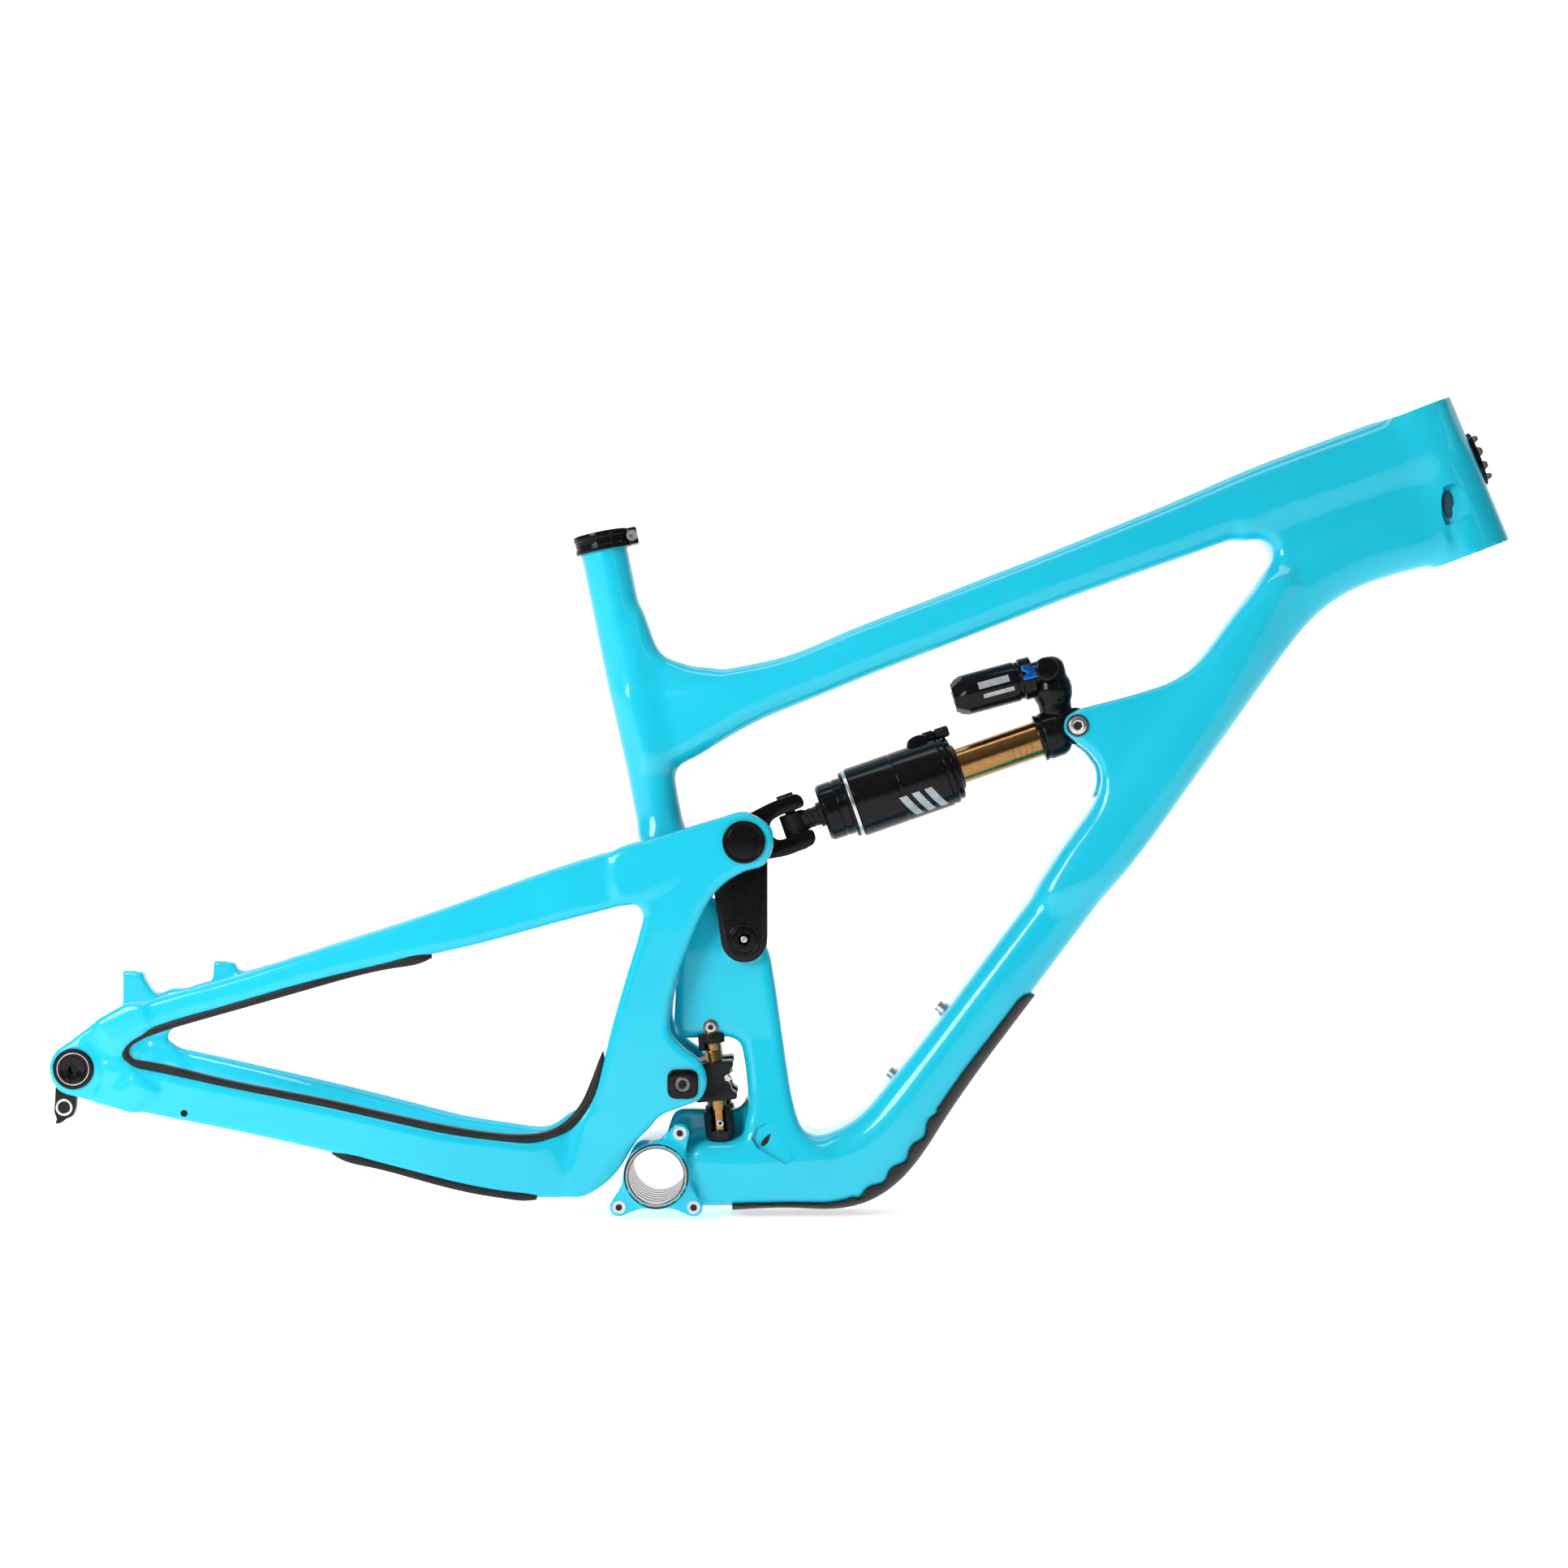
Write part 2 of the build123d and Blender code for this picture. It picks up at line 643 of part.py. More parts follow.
chainstay = stay(CHAINSTAY_STATIONS)
save(chainstay, "chainstay_right")
save(mirrored(chainstay), "chainstay_left")

DROPOUT_OUTER = 84.0
HANGER_HOLE = (-433.5, 55.5)
HANGER_OUTLINE = [(-440, 80), (-412, 80), (-422, 66), (-424, 57), (-431, 46.5), (-440, 43.5), (-441, 58)]
with BuildPart() as hanger_form:
    with BuildSketch(layer(HUB_HALF)):
        with Locations(REAR_AXLE):
            Circle(14.5)
    extrude(amount=4)
    with BuildSketch(layer(HUB_HALF)):
        Polygon(*HANGER_OUTLINE, align=None)
        with Locations(HANGER_HOLE):
            Circle(8.5)
    extrude(amount=8)

with BuildPart() as dropout_blank:
    with BuildSketch(layer(HUB_HALF)):
        with BuildLine():
            Polyline((DROPOUT_FRONT, 132), (-403, 123), (-422, 109.6), (-434, 100), (-440, 94))
            Line((-440, 94), (-443, 84.6))
            Polyline((-443, 84.6), (-441.5, 75), (-436, 67), (-426, 64.6), (-403, 57), (DROPOUT_FRONT, 52))
            Polyline((DROPOUT_FRONT, 52), (DROPOUT_FRONT, 86), (-390, 93), (DROPOUT_FRONT, 106))
            Line((DROPOUT_FRONT, 106), (DROPOUT_FRONT, 132))
        make_face()
        with Locations(REAR_AXLE):
            Circle(17.2)
    extrude(amount=DROPOUT_OUTER - HUB_HALF)
    with BuildSketch(layer(HUB_HALF)):
        with Locations(REAR_AXLE):
            Circle(AXLE_RADIUS)
    extrude(amount=DROPOUT_OUTER - HUB_HALF, mode=Mode.SUBTRACT)
dropout_left = mirrored(dropout_blank)
save(dropout_left, "dropout_left")

with BuildPart() as dropout_right:
    add(dropout_blank.part)
    add(hanger_form.part, mode=Mode.SUBTRACT)
save(dropout_right, "dropout_right")

with BuildPart() as derailleur_hanger:
    add(hanger_form.part)
    with BuildSketch(layer(HUB_HALF)):
        with Locations(HANGER_HOLE):
            Circle(5.0)
        with Locations(REAR_AXLE):
            Circle(AXLE_RADIUS)
    extrude(amount=8, mode=Mode.SUBTRACT)
save(derailleur_hanger, "derailleur_hanger")

with BuildPart() as rear_axle:
    add(cross_rod(REAR_AXLE, AXLE_RADIUS, -DROPOUT_OUTER - 1, DROPOUT_OUTER).part)
    add(cross_rod(REAR_AXLE, 15.0, DROPOUT_OUTER, DROPOUT_OUTER + 3).part)
    with BuildSketch(layer(DROPOUT_OUTER + 0.5)):
        with Locations(REAR_AXLE):
            RegularPolygon(3.8, 6)
    extrude(amount=3, mode=Mode.SUBTRACT)
    chamfer(rear_axle.faces().sort_by(Axis.Y)[0].outer_wire().edges(), 1.0)
save(rear_axle, "rear_axle")

with BuildPart() as bridge_upper:
    with BuildSketch(layer(-ARM_INNER)):
        with Locations((-21, 122)):
            RectangleRounded(12, 30, 5, rotation=-16.5)
    extrude(amount=2 * ARM_INNER)
save(bridge_upper, "swingarm_bridge_upper")

with BuildPart() as bridge_lower:
    with BuildSketch(layer(-ARM_INNER)):
        with Locations((-43.5, 26)):
            RectangleRounded(13, 34, 6)
    extrude(amount=2 * ARM_INNER)
save(bridge_lower, "swingarm_bridge_lower")

with BuildPart() as arm_bearings:
    with BuildSketch(layer(ARM_INNER)):
        with Locations(UPPER_PIVOT):
            Circle(ARM_BEARING)
            Circle(PIVOT_PIN + RUNNING, mode=Mode.SUBTRACT)
    extrude(amount=13)
    with BuildSketch(layer(ARM_INNER)):
        with Locations(CARRIAGE_PIVOT):
            Circle(ARM_POCKET)
            Circle(CARRIAGE_PIN + CARRIAGE_FLOAT, mode=Mode.SUBTRACT)
    extrude(amount=7)
    mirror(about=Plane.XZ)
save(arm_bearings, "arm_bearings")

with BuildPart() as upper_pivot_caps:
    add(cross_rod(UPPER_PIVOT, 16.0, ARM_OUTER, CAP_OUTER).part)
    fillet(upper_pivot_caps.faces().sort_by(Axis.Y)[0].edges(), 1.2)
    mirror(about=Plane.XZ)
save(upper_pivot_caps, "upper_pivot_caps")

with BuildPart() as lower_pivot_caps:
    with BuildSketch(layer(ARM_OUTER)):
        with Locations(CARRIAGE_PIVOT):
            RectangleRounded(23, 22, 6)
    extrude(amount=2.5)
    fillet(lower_pivot_caps.faces().sort_by(Axis.Y)[0].edges(), 1.0)
    mirror(about=Plane.XZ)
save(lower_pivot_caps, "lower_pivot_caps")

POST_LOW = (-416.0, 146.0)
POST_HIGH = (-344.0, 153.5)
POST_UP = Vector(POST_LOW[1] - POST_HIGH[1], 0, POST_HIGH[0] - POST_LOW[0]).normalized()
POST_SIDE = 76.0
POST_DEPTH = 28.0
BRAKE_THREAD = 10.0
with BuildPart() as brake_posts:
    for x, z in (POST_LOW, POST_HIGH):
        face = Plane(origin=(x, POST_SIDE, z), x_dir=(0, 1, 0), z_dir=POST_UP)
        with BuildSketch(face.offset(-POST_DEPTH)):
            Circle(8.0)
        extrude(amount=POST_DEPTH)
        with BuildSketch(face.offset(-BRAKE_THREAD)):
            Circle(2.5)
        extrude(amount=BRAKE_THREAD, mode=Mode.SUBTRACT)
        with BuildSketch(face.offset(-BRAKE_THREAD - 1)):
            Circle(3.0)
        extrude(amount=1, mode=Mode.SUBTRACT)
    add(dropout_left.part, mode=Mode.SUBTRACT)
    add(seatstay_left.part, mode=Mode.SUBTRACT)
save(brake_posts, "brake_posts")

STRIP_STATIONS = [
    (-134, 54.5, 172, 16, 8, 10),
    (-191, 61, 160.3, 16, 8, 10),
    (-250, 67, 145.5, 16, 8, 9.5),
    (-326, 74, 123.8, 16, 8, 9),
    (-376, 78.3, 110, 16, 8, 8),
]
seatstay_strip = stay(STRIP_STATIONS, [seatstay, dropout_blank])
TOP_STRIP_STATIONS = [
    (-88, 48, 26.5, -4, 8, 10),
    (-115, 51, 28.5, -12, 8, 10),
    (-153, 55.5, 33.5, -14, 8, 10),
    (-191, 60, 43.5, -14, 8, 10),
    (-249, 66.5, 57.2, -13, 8, 10),
    (-326, 74, 73.4, -12, 8, 9),
    (-376, 78.3, 84.5, -10, 8, 8),
]
chainstay_strip = stay(TOP_STRIP_STATIONS, [chainstay, dropout_blank])
with BuildPart() as stay_guards:
    add(seatstay_strip.part)
    add(chainstay_strip.part)
save(stay_guards, "stay_guards")

UNDER_STATIONS = [
    (-92, 48.5, -12.5, -6, 10, 12),
    (-115, 51, -10, -12, 10, 13),
    (-153, 55.5, -2.5, -14, 10, 13),
    (-191, 60, 10, -14, 10, 13),
    (-224, 63.5, 17, -14, 8, 12),
]
chainstay_guard = stay(UNDER_STATIONS, [chainstay])
save(chainstay_guard, "chainstay_guard")

# ---------------------------------------------------------------- shock, front half
SHAFT_RADIUS = 13.8
LEVER_PLACE = (296.0, 381.0)
LEVER_INNER = 16.0
LEVER_THICK = 3.5
LEVER_PIN = 2.2
with BuildPart() as shock_head:
    with BuildSketch(layer(-13.0)):
        with Locations(SHOCK_PIVOT):
            Circle(14.0)
    extrude(amount=26)
    with BuildSketch(along_shock(10)):
        RectangleRounded(28, 36, 8)
    extrude(amount=18)
    with BuildSketch(Plane(origin=(302, 0, 346), x_dir=(0, 1, 0), z_dir=(-0.17, 0, 0.985))):
        RectangleRounded(27, 26, 9)
    extrude(amount=42)
    with BuildSketch(along_reservoir(3)):
        Rectangle(60, 60)
    extrude(amount=30, mode=Mode.SUBTRACT)
    with BuildSketch(layer(-14.0)):
        with Locations(SHOCK_PIVOT):
            Circle(SHOCK_PIN + RUNNING)
    extrude(amount=28, mode=Mode.SUBTRACT)
    add(cross_rod(LEVER_PLACE, 5.0, 12.0, LEVER_INNER - 0.2).part)
    add(cross_rod(LEVER_PLACE, LEVER_PIN, 12.0, LEVER_INNER + LEVER_THICK).part)
save(shock_head, "shock_head")

shock_shaft = turned([(28, 160, SHAFT_RADIUS)], along_shock)
save(shock_shaft, "shock_shaft")

with BuildPart() as reservoir:
    add(turned([(3, 60, 15.5), (60, 63, 14.5), (63, 66, 12.5)], along_reservoir).part)
    with BuildSketch(along_reservoir(64)):
        Circle(4.0)
    extrude(amount=2, mode=Mode.SUBTRACT)
save(reservoir, "reservoir")

with BuildPart() as climb_lever:
    with BuildSketch(layer(LEVER_INNER)):
        with Locations(LEVER_PLACE):
            Circle(6.0)
        Polygon((296, 386), (277, 383), (274, 376), (280, 373), (296, 375), align=None)
        with Locations(LEVER_PLACE):
            Circle(LEVER_PIN + RUNNING, mode=Mode.SUBTRACT)
    extrude(amount=LEVER_THICK)
save(climb_lever, "climb_lever")

# ---------------------------------------------------------------- shock, rear half
CAN_STEPS = [(95, 98, 24.5), (98, 104, 26.4), (104, 178, 27), (178, 183, 27.4), (183, 203, 22)]
with BuildPart() as air_can:
    add(turned(CAN_STEPS, along_shock).part)
    with BuildSketch(along_shock(94)):
        Circle(SHAFT_RADIUS + RUNNING)
    extrude(amount=10, mode=Mode.SUBTRACT)
    with BuildSketch(along_shock(103)):
        Circle(20.0)
    extrude(amount=97, mode=Mode.SUBTRACT)
save(air_can, "air_can")

eye = Plane(origin=SHOCK_ORIGIN + SHOCK_BACK * EYE_REACH, x_dir=(0, 1, 0), z_dir=SHOCK_UP)
with BuildPart() as shock_eye:
    add(turned([(203, 221, 7.5)], along_shock).part)
    with BuildSketch(eye.offset(-8.5)):
        Circle(9.5)
    extrude(amount=17)
    with BuildSketch(eye.offset(-9.5)):
        Circle(4.0)
    extrude(amount=19, mode=Mode.SUBTRACT)
save(shock_eye, "shock_eye")

yoke_side = Plane(origin=SHOCK_ORIGIN, x_dir=SHOCK_BACK, z_dir=(0, -1, 0))
PRONG_IN = 9.0
PRONG_OUT = 20.0
with BuildPart() as shock_yoke:
    with BuildSketch(yoke_side.offset(-LINK_INNER + 1.5)):
        with Locations((YOKE_REACH, 0)):
            Circle(16.5)
            Circle(PIVOT_PIN + YOKE_FLOAT, mode=Mode.SUBTRACT)
    extrude(amount=2 * LINK_INNER - 3)
    with BuildSketch(yoke_side.offset(-13)):
        with Locations((0.5 * (YOKE_REACH + 216), 0)):
            RectangleRounded(YOKE_REACH - 216, 2 * PRONG_OUT, 8)
        with Locations((0.5 * (247 + 200), 0)):
            Rectangle(47, 2 * PRONG_IN, mode=Mode.SUBTRACT)
        with Locations((YOKE_REACH, 0)):
            Circle(16.0, mode=Mode.SUBTRACT)
    extrude(amount=26)
    with BuildSketch(eye.offset(-22)):
        Circle(4.0)
    extrude(amount=44, mode=Mode.SUBTRACT)
save(shock_yoke, "shock_yoke")

with BuildPart() as yoke_bolt:
    with BuildSketch(eye.offset(-PRONG_OUT)):
        Circle(4.0)
    extrude(amount=2 * PRONG_OUT)
    with BuildSketch(eye.offset(PRONG_OUT)):
        Circle(6.5)
        RegularPolygon(2.6, 6, mode=Mode.SUBTRACT)
    extrude(amount=3)
save(yoke_bolt, "yoke_bolt")
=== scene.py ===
import bpy
import bmesh
import math
import numpy as np
import openvdb
from mathutils import Matrix, Vector


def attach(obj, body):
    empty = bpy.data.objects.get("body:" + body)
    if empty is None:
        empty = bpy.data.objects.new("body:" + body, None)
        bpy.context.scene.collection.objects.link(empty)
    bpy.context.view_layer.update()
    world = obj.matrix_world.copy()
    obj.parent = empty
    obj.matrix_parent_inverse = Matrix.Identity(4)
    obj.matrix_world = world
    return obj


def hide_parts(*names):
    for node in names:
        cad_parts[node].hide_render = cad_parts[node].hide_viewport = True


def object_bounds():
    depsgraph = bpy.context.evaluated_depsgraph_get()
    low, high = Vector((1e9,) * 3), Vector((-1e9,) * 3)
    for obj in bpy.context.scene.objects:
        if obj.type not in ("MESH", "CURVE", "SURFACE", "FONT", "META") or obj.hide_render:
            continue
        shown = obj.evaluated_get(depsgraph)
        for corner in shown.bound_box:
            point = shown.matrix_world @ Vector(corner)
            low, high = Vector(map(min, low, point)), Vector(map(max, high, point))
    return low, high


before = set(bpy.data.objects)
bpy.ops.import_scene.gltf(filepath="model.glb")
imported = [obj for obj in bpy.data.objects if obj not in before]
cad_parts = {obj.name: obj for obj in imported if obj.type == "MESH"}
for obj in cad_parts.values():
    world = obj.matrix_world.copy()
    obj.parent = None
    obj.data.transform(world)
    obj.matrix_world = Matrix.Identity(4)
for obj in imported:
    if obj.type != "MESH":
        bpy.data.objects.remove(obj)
CAD_BOX = [list(map(float, corner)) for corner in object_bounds()]

MM = 0.001
CELL = 2.4
GUARD_CELL = 1.8
CAMERA_PLACE = (0.09545, -2.3, 0.2931)
FLOOR_GAP = 0.0015
NEAR = (0, -1, 0)
SIDES = (-1, 1)

# Pivots in the centre plane, (X, Z) in millimetres from the bottom bracket
LINK_PIVOT = (65.5, 176.5)
UPPER_PIVOT = (65.5, 249.8)
CARRIAGE_PIVOT = (20.0, 69.5)
SHOCK_PIVOT = (316.6, 337.1)
REAR_AXLE = (-426.0, 84.0)
HEAD_BOTTOM = (621.0, 469.0)
HEAD_TOP = (579.0, 578.5)


def linked(name, data):
    """Object in the scene for a mesh, a light or a camera."""
    obj = bpy.data.objects.new(name, data)
    bpy.context.scene.collection.objects.link(obj)
    return obj


# ---------------------------------------------------------------- camera, floor and light
def camera():
    """Level side view from the chain side."""
    data = bpy.data.cameras.new("Camera")
    data.lens = 69.3
    data.sensor_width = 36
    data.clip_end = 50
    obj = linked("Camera", data)
    obj.location = CAMERA_PLACE
    obj.rotation_euler = (math.radians(90), 0, 0)
    bpy.context.scene.camera = obj


camera()


def backdrop():
    """Pale floor that curves up into a wall behind the object."""
    floor = CAD_BOX[0][2] - FLOOR_GAP
    bend, bend_start = 1.2, 2.2
    profile = [(-4.5, floor)]
    for turn in np.linspace(0, math.pi / 2, 17):
        profile.append((bend_start + bend * math.sin(turn), floor + bend * (1 - math.cos(turn))))
    profile.append((bend_start + bend, 5.0))
    mesh = bpy.data.meshes.new("backdrop")
    points = [(x, y, z) for y, z in profile for x in (-6.0, 6.0)]
    faces = [(2 * i, 2 * i + 1, 2 * i + 3, 2 * i + 2) for i in range(len(profile) - 1)]
    mesh.from_pydata(points, [], faces)
    mesh.shade_smooth()
    look = bpy.data.materials.new("backdrop")
    look.use_nodes = True
    inputs = look.node_tree.nodes["Principled BSDF"].inputs
    inputs["Base Color"].default_value = (0.93, 0.93, 0.93, 1)
    inputs["Roughness"].default_value = 0.9
    inputs["Specular IOR Level"].default_value = 0.1
    inputs["Emission Color"].default_value = (1, 1, 1, 1)
    inputs["Emission Strength"].default_value = 0.62
    mesh.materials.append(look)
    linked("backdrop", mesh)


def studio():
    """Dim sky that brightens upwards, and soft lights: name, place, target, width, height, watts."""
    world = bpy.data.worlds.new("studio")
    bpy.context.scene.world = world
    world.use_nodes = True
    sky = world.node_tree
    coords = sky.nodes.new("ShaderNodeTexCoord")
    parts = sky.nodes.new("ShaderNodeSeparateXYZ")
    sky.links.new(coords.outputs["Generated"], parts.inputs["Vector"])
    fade = ramp(sky, parts.outputs["Z"], (0.20, 0.20, 0.20), (1, 1, 1), 0.0, 0.8)
    sky.links.new(fade, sky.nodes["Background"].inputs["Color"])
    sky.nodes["Background"].inputs["Strength"].default_value = 0.25

    for name, place, target, width, height, power in (
            ("key", (-1.0, -1.35, 0.85), (-0.3, 0, 0.12), 0.7, 0.7, 24),
            ("overhead", (-0.2, -0.4, 2.6), (0.0, 0, 0.2), 2.4, 0.5, 17),
            ("side", (1.9, -2.2, 1.3), (0.2, 0, 0.3), 0.4, 1.2, 1.2),
            ("backdrop_light", (0.1, 0.9, 2.4), (0.1, 3.0, 0.4), 3.5, 1.2, 45)):
        data = bpy.data.lights.new(name, "AREA")
        data.shape = "RECTANGLE"
        data.size, data.size_y = width, height
        data.energy = power
        light = linked(name, data)
        light.location = place
        light.rotation_euler = (Vector(target) - Vector(place)).to_track_quat("-Z", "Y").to_euler()
    bpy.context.scene.view_settings.view_transform = "Standard"


def ramp(tree, factor, low, high, start=0.3, end=0.7):
    """Colour ramp between two colours."""
    node = tree.nodes.new("ShaderNodeValToRGB")
    node.color_ramp.elements[0].position = start
    node.color_ramp.elements[0].color = (*low, 1)
    node.color_ramp.elements[1].position = end
    node.color_ramp.elements[1].color = (*high, 1)
    tree.links.new(factor, node.inputs["Fac"])
    return node.outputs["Color"]


backdrop()
studio()


# ---------------------------------------------------------------- materials
def material(name, base, metallic=0.0, roughness=0.4, coat=0.0, coat_roughness=0.05):
    """Principled material with its constants set on the shader's own sockets."""
    look = bpy.data.materials.new(name)
    look.use_nodes = True
    shader = look.node_tree.nodes["Principled BSDF"]
    shader.inputs["Base Color"].default_value = (*base, 1)
    shader.inputs["Metallic"].default_value = metallic
    shader.inputs["Roughness"].default_value = roughness
    shader.inputs["Coat Weight"].default_value = coat
    shader.inputs["Coat Roughness"].default_value = coat_roughness
    return look, look.node_tree, shader


def noise(tree, scale, detail=4.0, stretch=(1, 1, 1)):
    """Noise in object space, stretched along an axis where asked."""
    coords = tree.nodes.new("ShaderNodeTexCoord")
    mapping = tree.nodes.new("ShaderNodeMapping")
    mapping.inputs["Scale"].default_value = stretch
    texture = tree.nodes.new("ShaderNodeTexNoise")
    texture.inputs["Scale"].default_value = scale
    texture.inputs["Detail"].default_value = detail
    tree.links.new(coords.outputs["Object"], mapping.inputs["Vector"])
    tree.links.new(mapping.outputs["Vector"], texture.inputs["Vector"])
    return texture.outputs["Fac"]


def bump(tree, shader, height, strength, distance):
    """Bump from a height."""
    node = tree.nodes.new("ShaderNodeBump")
    node.inputs["Strength"].default_value = strength
    node.inputs["Distance"].default_value = distance
    tree.links.new(height, node.inputs["Height"])
    tree.links.new(node.outputs["Normal"], shader.inputs["Normal"])


def painted():
    """Clear-coated turquoise paint with the faintest orange peel."""
    look, tree, shader = material("turquoise_paint", (0.007, 0.49, 0.66), 0.0, 0.35, 0.6, 0.04)
    shader.inputs["Specular IOR Level"].default_value = 0.15
    cloud = noise(tree, 9, 3)
    tree.links.new(ramp(tree, cloud, (0.006, 0.475, 0.645), (0.010, 0.51, 0.68)), shader.inputs["Base Color"])
    bump(tree, shader, noise(tree, 900, 1), 0.03, 0.0002)
    return look


def anodised(name, low, high, roughness, metallic=1.0, grain=(1, 1, 1), strength=0.12):
    """Anodised or bead-blasted metal with fine grain."""
    look, tree, shader = material(name, high, metallic, roughness)
    shader.inputs["Specular IOR Level"].default_value = 0.5 if metallic > 0.1 else 0.16
    tree.links.new(ramp(tree, noise(tree, 260, 5, grain), low, high), shader.inputs["Base Color"])
    rough = tree.nodes.new("ShaderNodeMapRange")
    rough.inputs["To Min"].default_value = roughness * 0.8
    rough.inputs["To Max"].default_value = roughness * 1.25
    tree.links.new(noise(tree, 420, 4, grain), rough.inputs["Value"])
    tree.links.new(rough.outputs["Result"], shader.inputs["Roughness"])
    bump(tree, shader, noise(tree, 1400, 3, grain), strength, 0.0001)
    return look


def rubber():
    """Matt moulded rubber with a fine pebble."""
    look, tree, shader = material("guard_rubber", (0.006, 0.006, 0.008), 0.0, 0.45)
    shader.inputs["Specular IOR Level"].default_value = 0.25
    tree.links.new(ramp(tree, noise(tree, 60, 6), (0.006, 0.0055, 0.007), (0.014, 0.013, 0.015)),
                   shader.inputs["Base Color"])
    bump(tree, shader, noise(tree, 1100, 4), 0.35, 0.0003)
    return look


PAINT = painted()
BLACK = anodised("black_anodised", (0.006, 0.006, 0.007), (0.014, 0.014, 0.015), 0.36, 0.0)
GLOSS = anodised("black_gloss", (0.003, 0.003, 0.0035), (0.006, 0.006, 0.007), 0.14, 0.0, strength=0.02)
GOLD = anodised("gold_anodised", (0.26, 0.13, 0.045), (0.40, 0.22, 0.08), 0.20, 1.0, (1, 1, 8), 0.05)
STEEL = anodised("bolt_steel", (0.52, 0.52, 0.52), (0.72, 0.72, 0.73), 0.28)
ALLOY = anodised("machined_alloy", (0.26, 0.25, 0.24), (0.42, 0.41, 0.40), 0.30, 1.0, (1, 12, 1), 0.2)
BLUE = anodised("blue_anodised", (0.01, 0.13, 0.55), (0.02, 0.22, 0.80), 0.25, 0.8)
DULL = anodised("dark_steel", (0.10, 0.10, 0.105), (0.20, 0.20, 0.21), 0.32)
GREY = anodised("grey_print", (0.28, 0.31, 0.33), (0.40, 0.43, 0.45), 0.40, 0.2)
RUBBER = rubber()
# Near-black material for discs set in the bottoms of holes and sockets: painted shade where the real hollow
# is only in shadow.
HOLE_SHADE = material("painted_hole_shade", (0.006, 0.006, 0.006), 0.0, 0.8)[0]
# Darker copy of the frame paint for the deep ends of the head tube's cable ports: painted shade in the
# recess.
PORT_SHADE = material("painted_port_shade", (0.001, 0.06, 0.085), 0.0, 0.6)[0]


# ---------------------------------------------------------------- signed distance fields
def cubic(knots, values):
    """Natural cubic spline through rows of values: returns a function giving value, slope, bend."""
    knots = np.asarray(knots, float)
    values = np.asarray(values, float)
    gaps = np.diff(knots)
    count = len(knots)
    system = np.eye(count)
    right = np.zeros_like(values)
    for i in range(1, count - 1):
        system[i, i - 1] = gaps[i - 1]
        system[i, i] = 2 * (gaps[i - 1] + gaps[i])
        system[i, i + 1] = gaps[i]
        rise = (values[i + 1] - values[i]) / gaps[i] - (values[i] - values[i - 1]) / gaps[i - 1]
        right[i] = 6 * rise
    bends = np.linalg.solve(system, right)

    def at(t):
        i = np.clip(np.searchsorted(knots, t) - 1, 0, count - 2)
        gap = gaps[i][:, None]
        a = (knots[i + 1] - t)[:, None] / gap
        b = 1 - a
        m0, m1 = bends[i], bends[i + 1]
        value = a * values[i] + b * values[i + 1] + ((a**3 - a) * m0 + (b**3 - b) * m1) * gap**2 / 6
        slope = (values[i + 1] - values[i]) / gap + ((1 - 3 * a**2) * m0 + (3 * b**2 - 1) * m1) * gap / 6
        return value, slope, a * m0 + b * m1

    return at


class Tube:
    """Swept tube: stations are (x, z, half depth, half width, roundness, y of the centre line)."""

    def __init__(self, stations, blend):
        rows = np.array([tuple(s) + (0.0,) * (6 - len(s)) for s in stations], float)
        step = np.hypot(*np.diff(rows[:, :2], axis=0).T)
        self.knots = np.concatenate([[0], np.cumsum(step)])
        self.at = cubic(self.knots, rows)
        self.length = self.knots[-1]
        self.coarse = np.linspace(0, self.length, max(8, int(self.length / 7)))
        self.points = self.at(self.coarse)[0][:, :2]
        self.blend = blend

    def site(self, x, z):
        """Everything about the nearest place on the centre line to points in the side plane."""
        best = np.empty(len(x))
        for start in range(0, len(x), 60000):
            part = slice(start, start + 60000)
            gap = (x[part, None] - self.points[None, :, 0]) ** 2
            gap += (z[part, None] - self.points[None, :, 1]) ** 2
            best[part] = self.coarse[gap.argmin(1)]
        reach = self.coarse[1]
        t = best
        for _ in range(5):
            value, slope, bend = self.at(t)
            off = value[:, :2] - np.stack([x, z], 1)
            first = (off * slope[:, :2]).sum(1)
            second = (slope[:, :2] ** 2).sum(1) + (off * bend[:, :2]).sum(1)
            move = first / np.maximum(second, 0.3)
            t = np.clip(t - np.clip(move, -reach, reach), 0, self.length)
        value, slope, bend = self.at(t)
        along = slope[:, :2] / np.linalg.norm(slope[:, :2], axis=1)[:, None]
        off = np.stack([x, z], 1) - value[:, :2]
        ahead = (off * along).sum(1)
        side = off[:, 1] * along[:, 0] - off[:, 0] * along[:, 1]
        over = np.maximum(np.where(t <= 0, -ahead, -t), np.where(t >= self.length, ahead, t - self.length))
        return side, over, value[:, 2], value[:, 3], value[:, 4], value[:, 5]

    def field(self, site, y):
        """Distance at the given half widths, for sites made by site()."""
        side, over, depth, width, roundness, centre = site
        y = np.abs(np.abs(y) - centre) if np.any(centre) else np.abs(y)
        corner = roundness * np.minimum(depth, width)
        a = np.abs(side) - (depth - corner)
        b = y - (width - corner)
        ring = np.hypot(np.maximum(a, 0), np.maximum(b, 0)) + np.minimum(np.maximum(a, b), 0) - corner
        return np.hypot(np.maximum(ring, 0), np.maximum(over, 0)) + np.minimum(np.maximum(ring, over), 0)


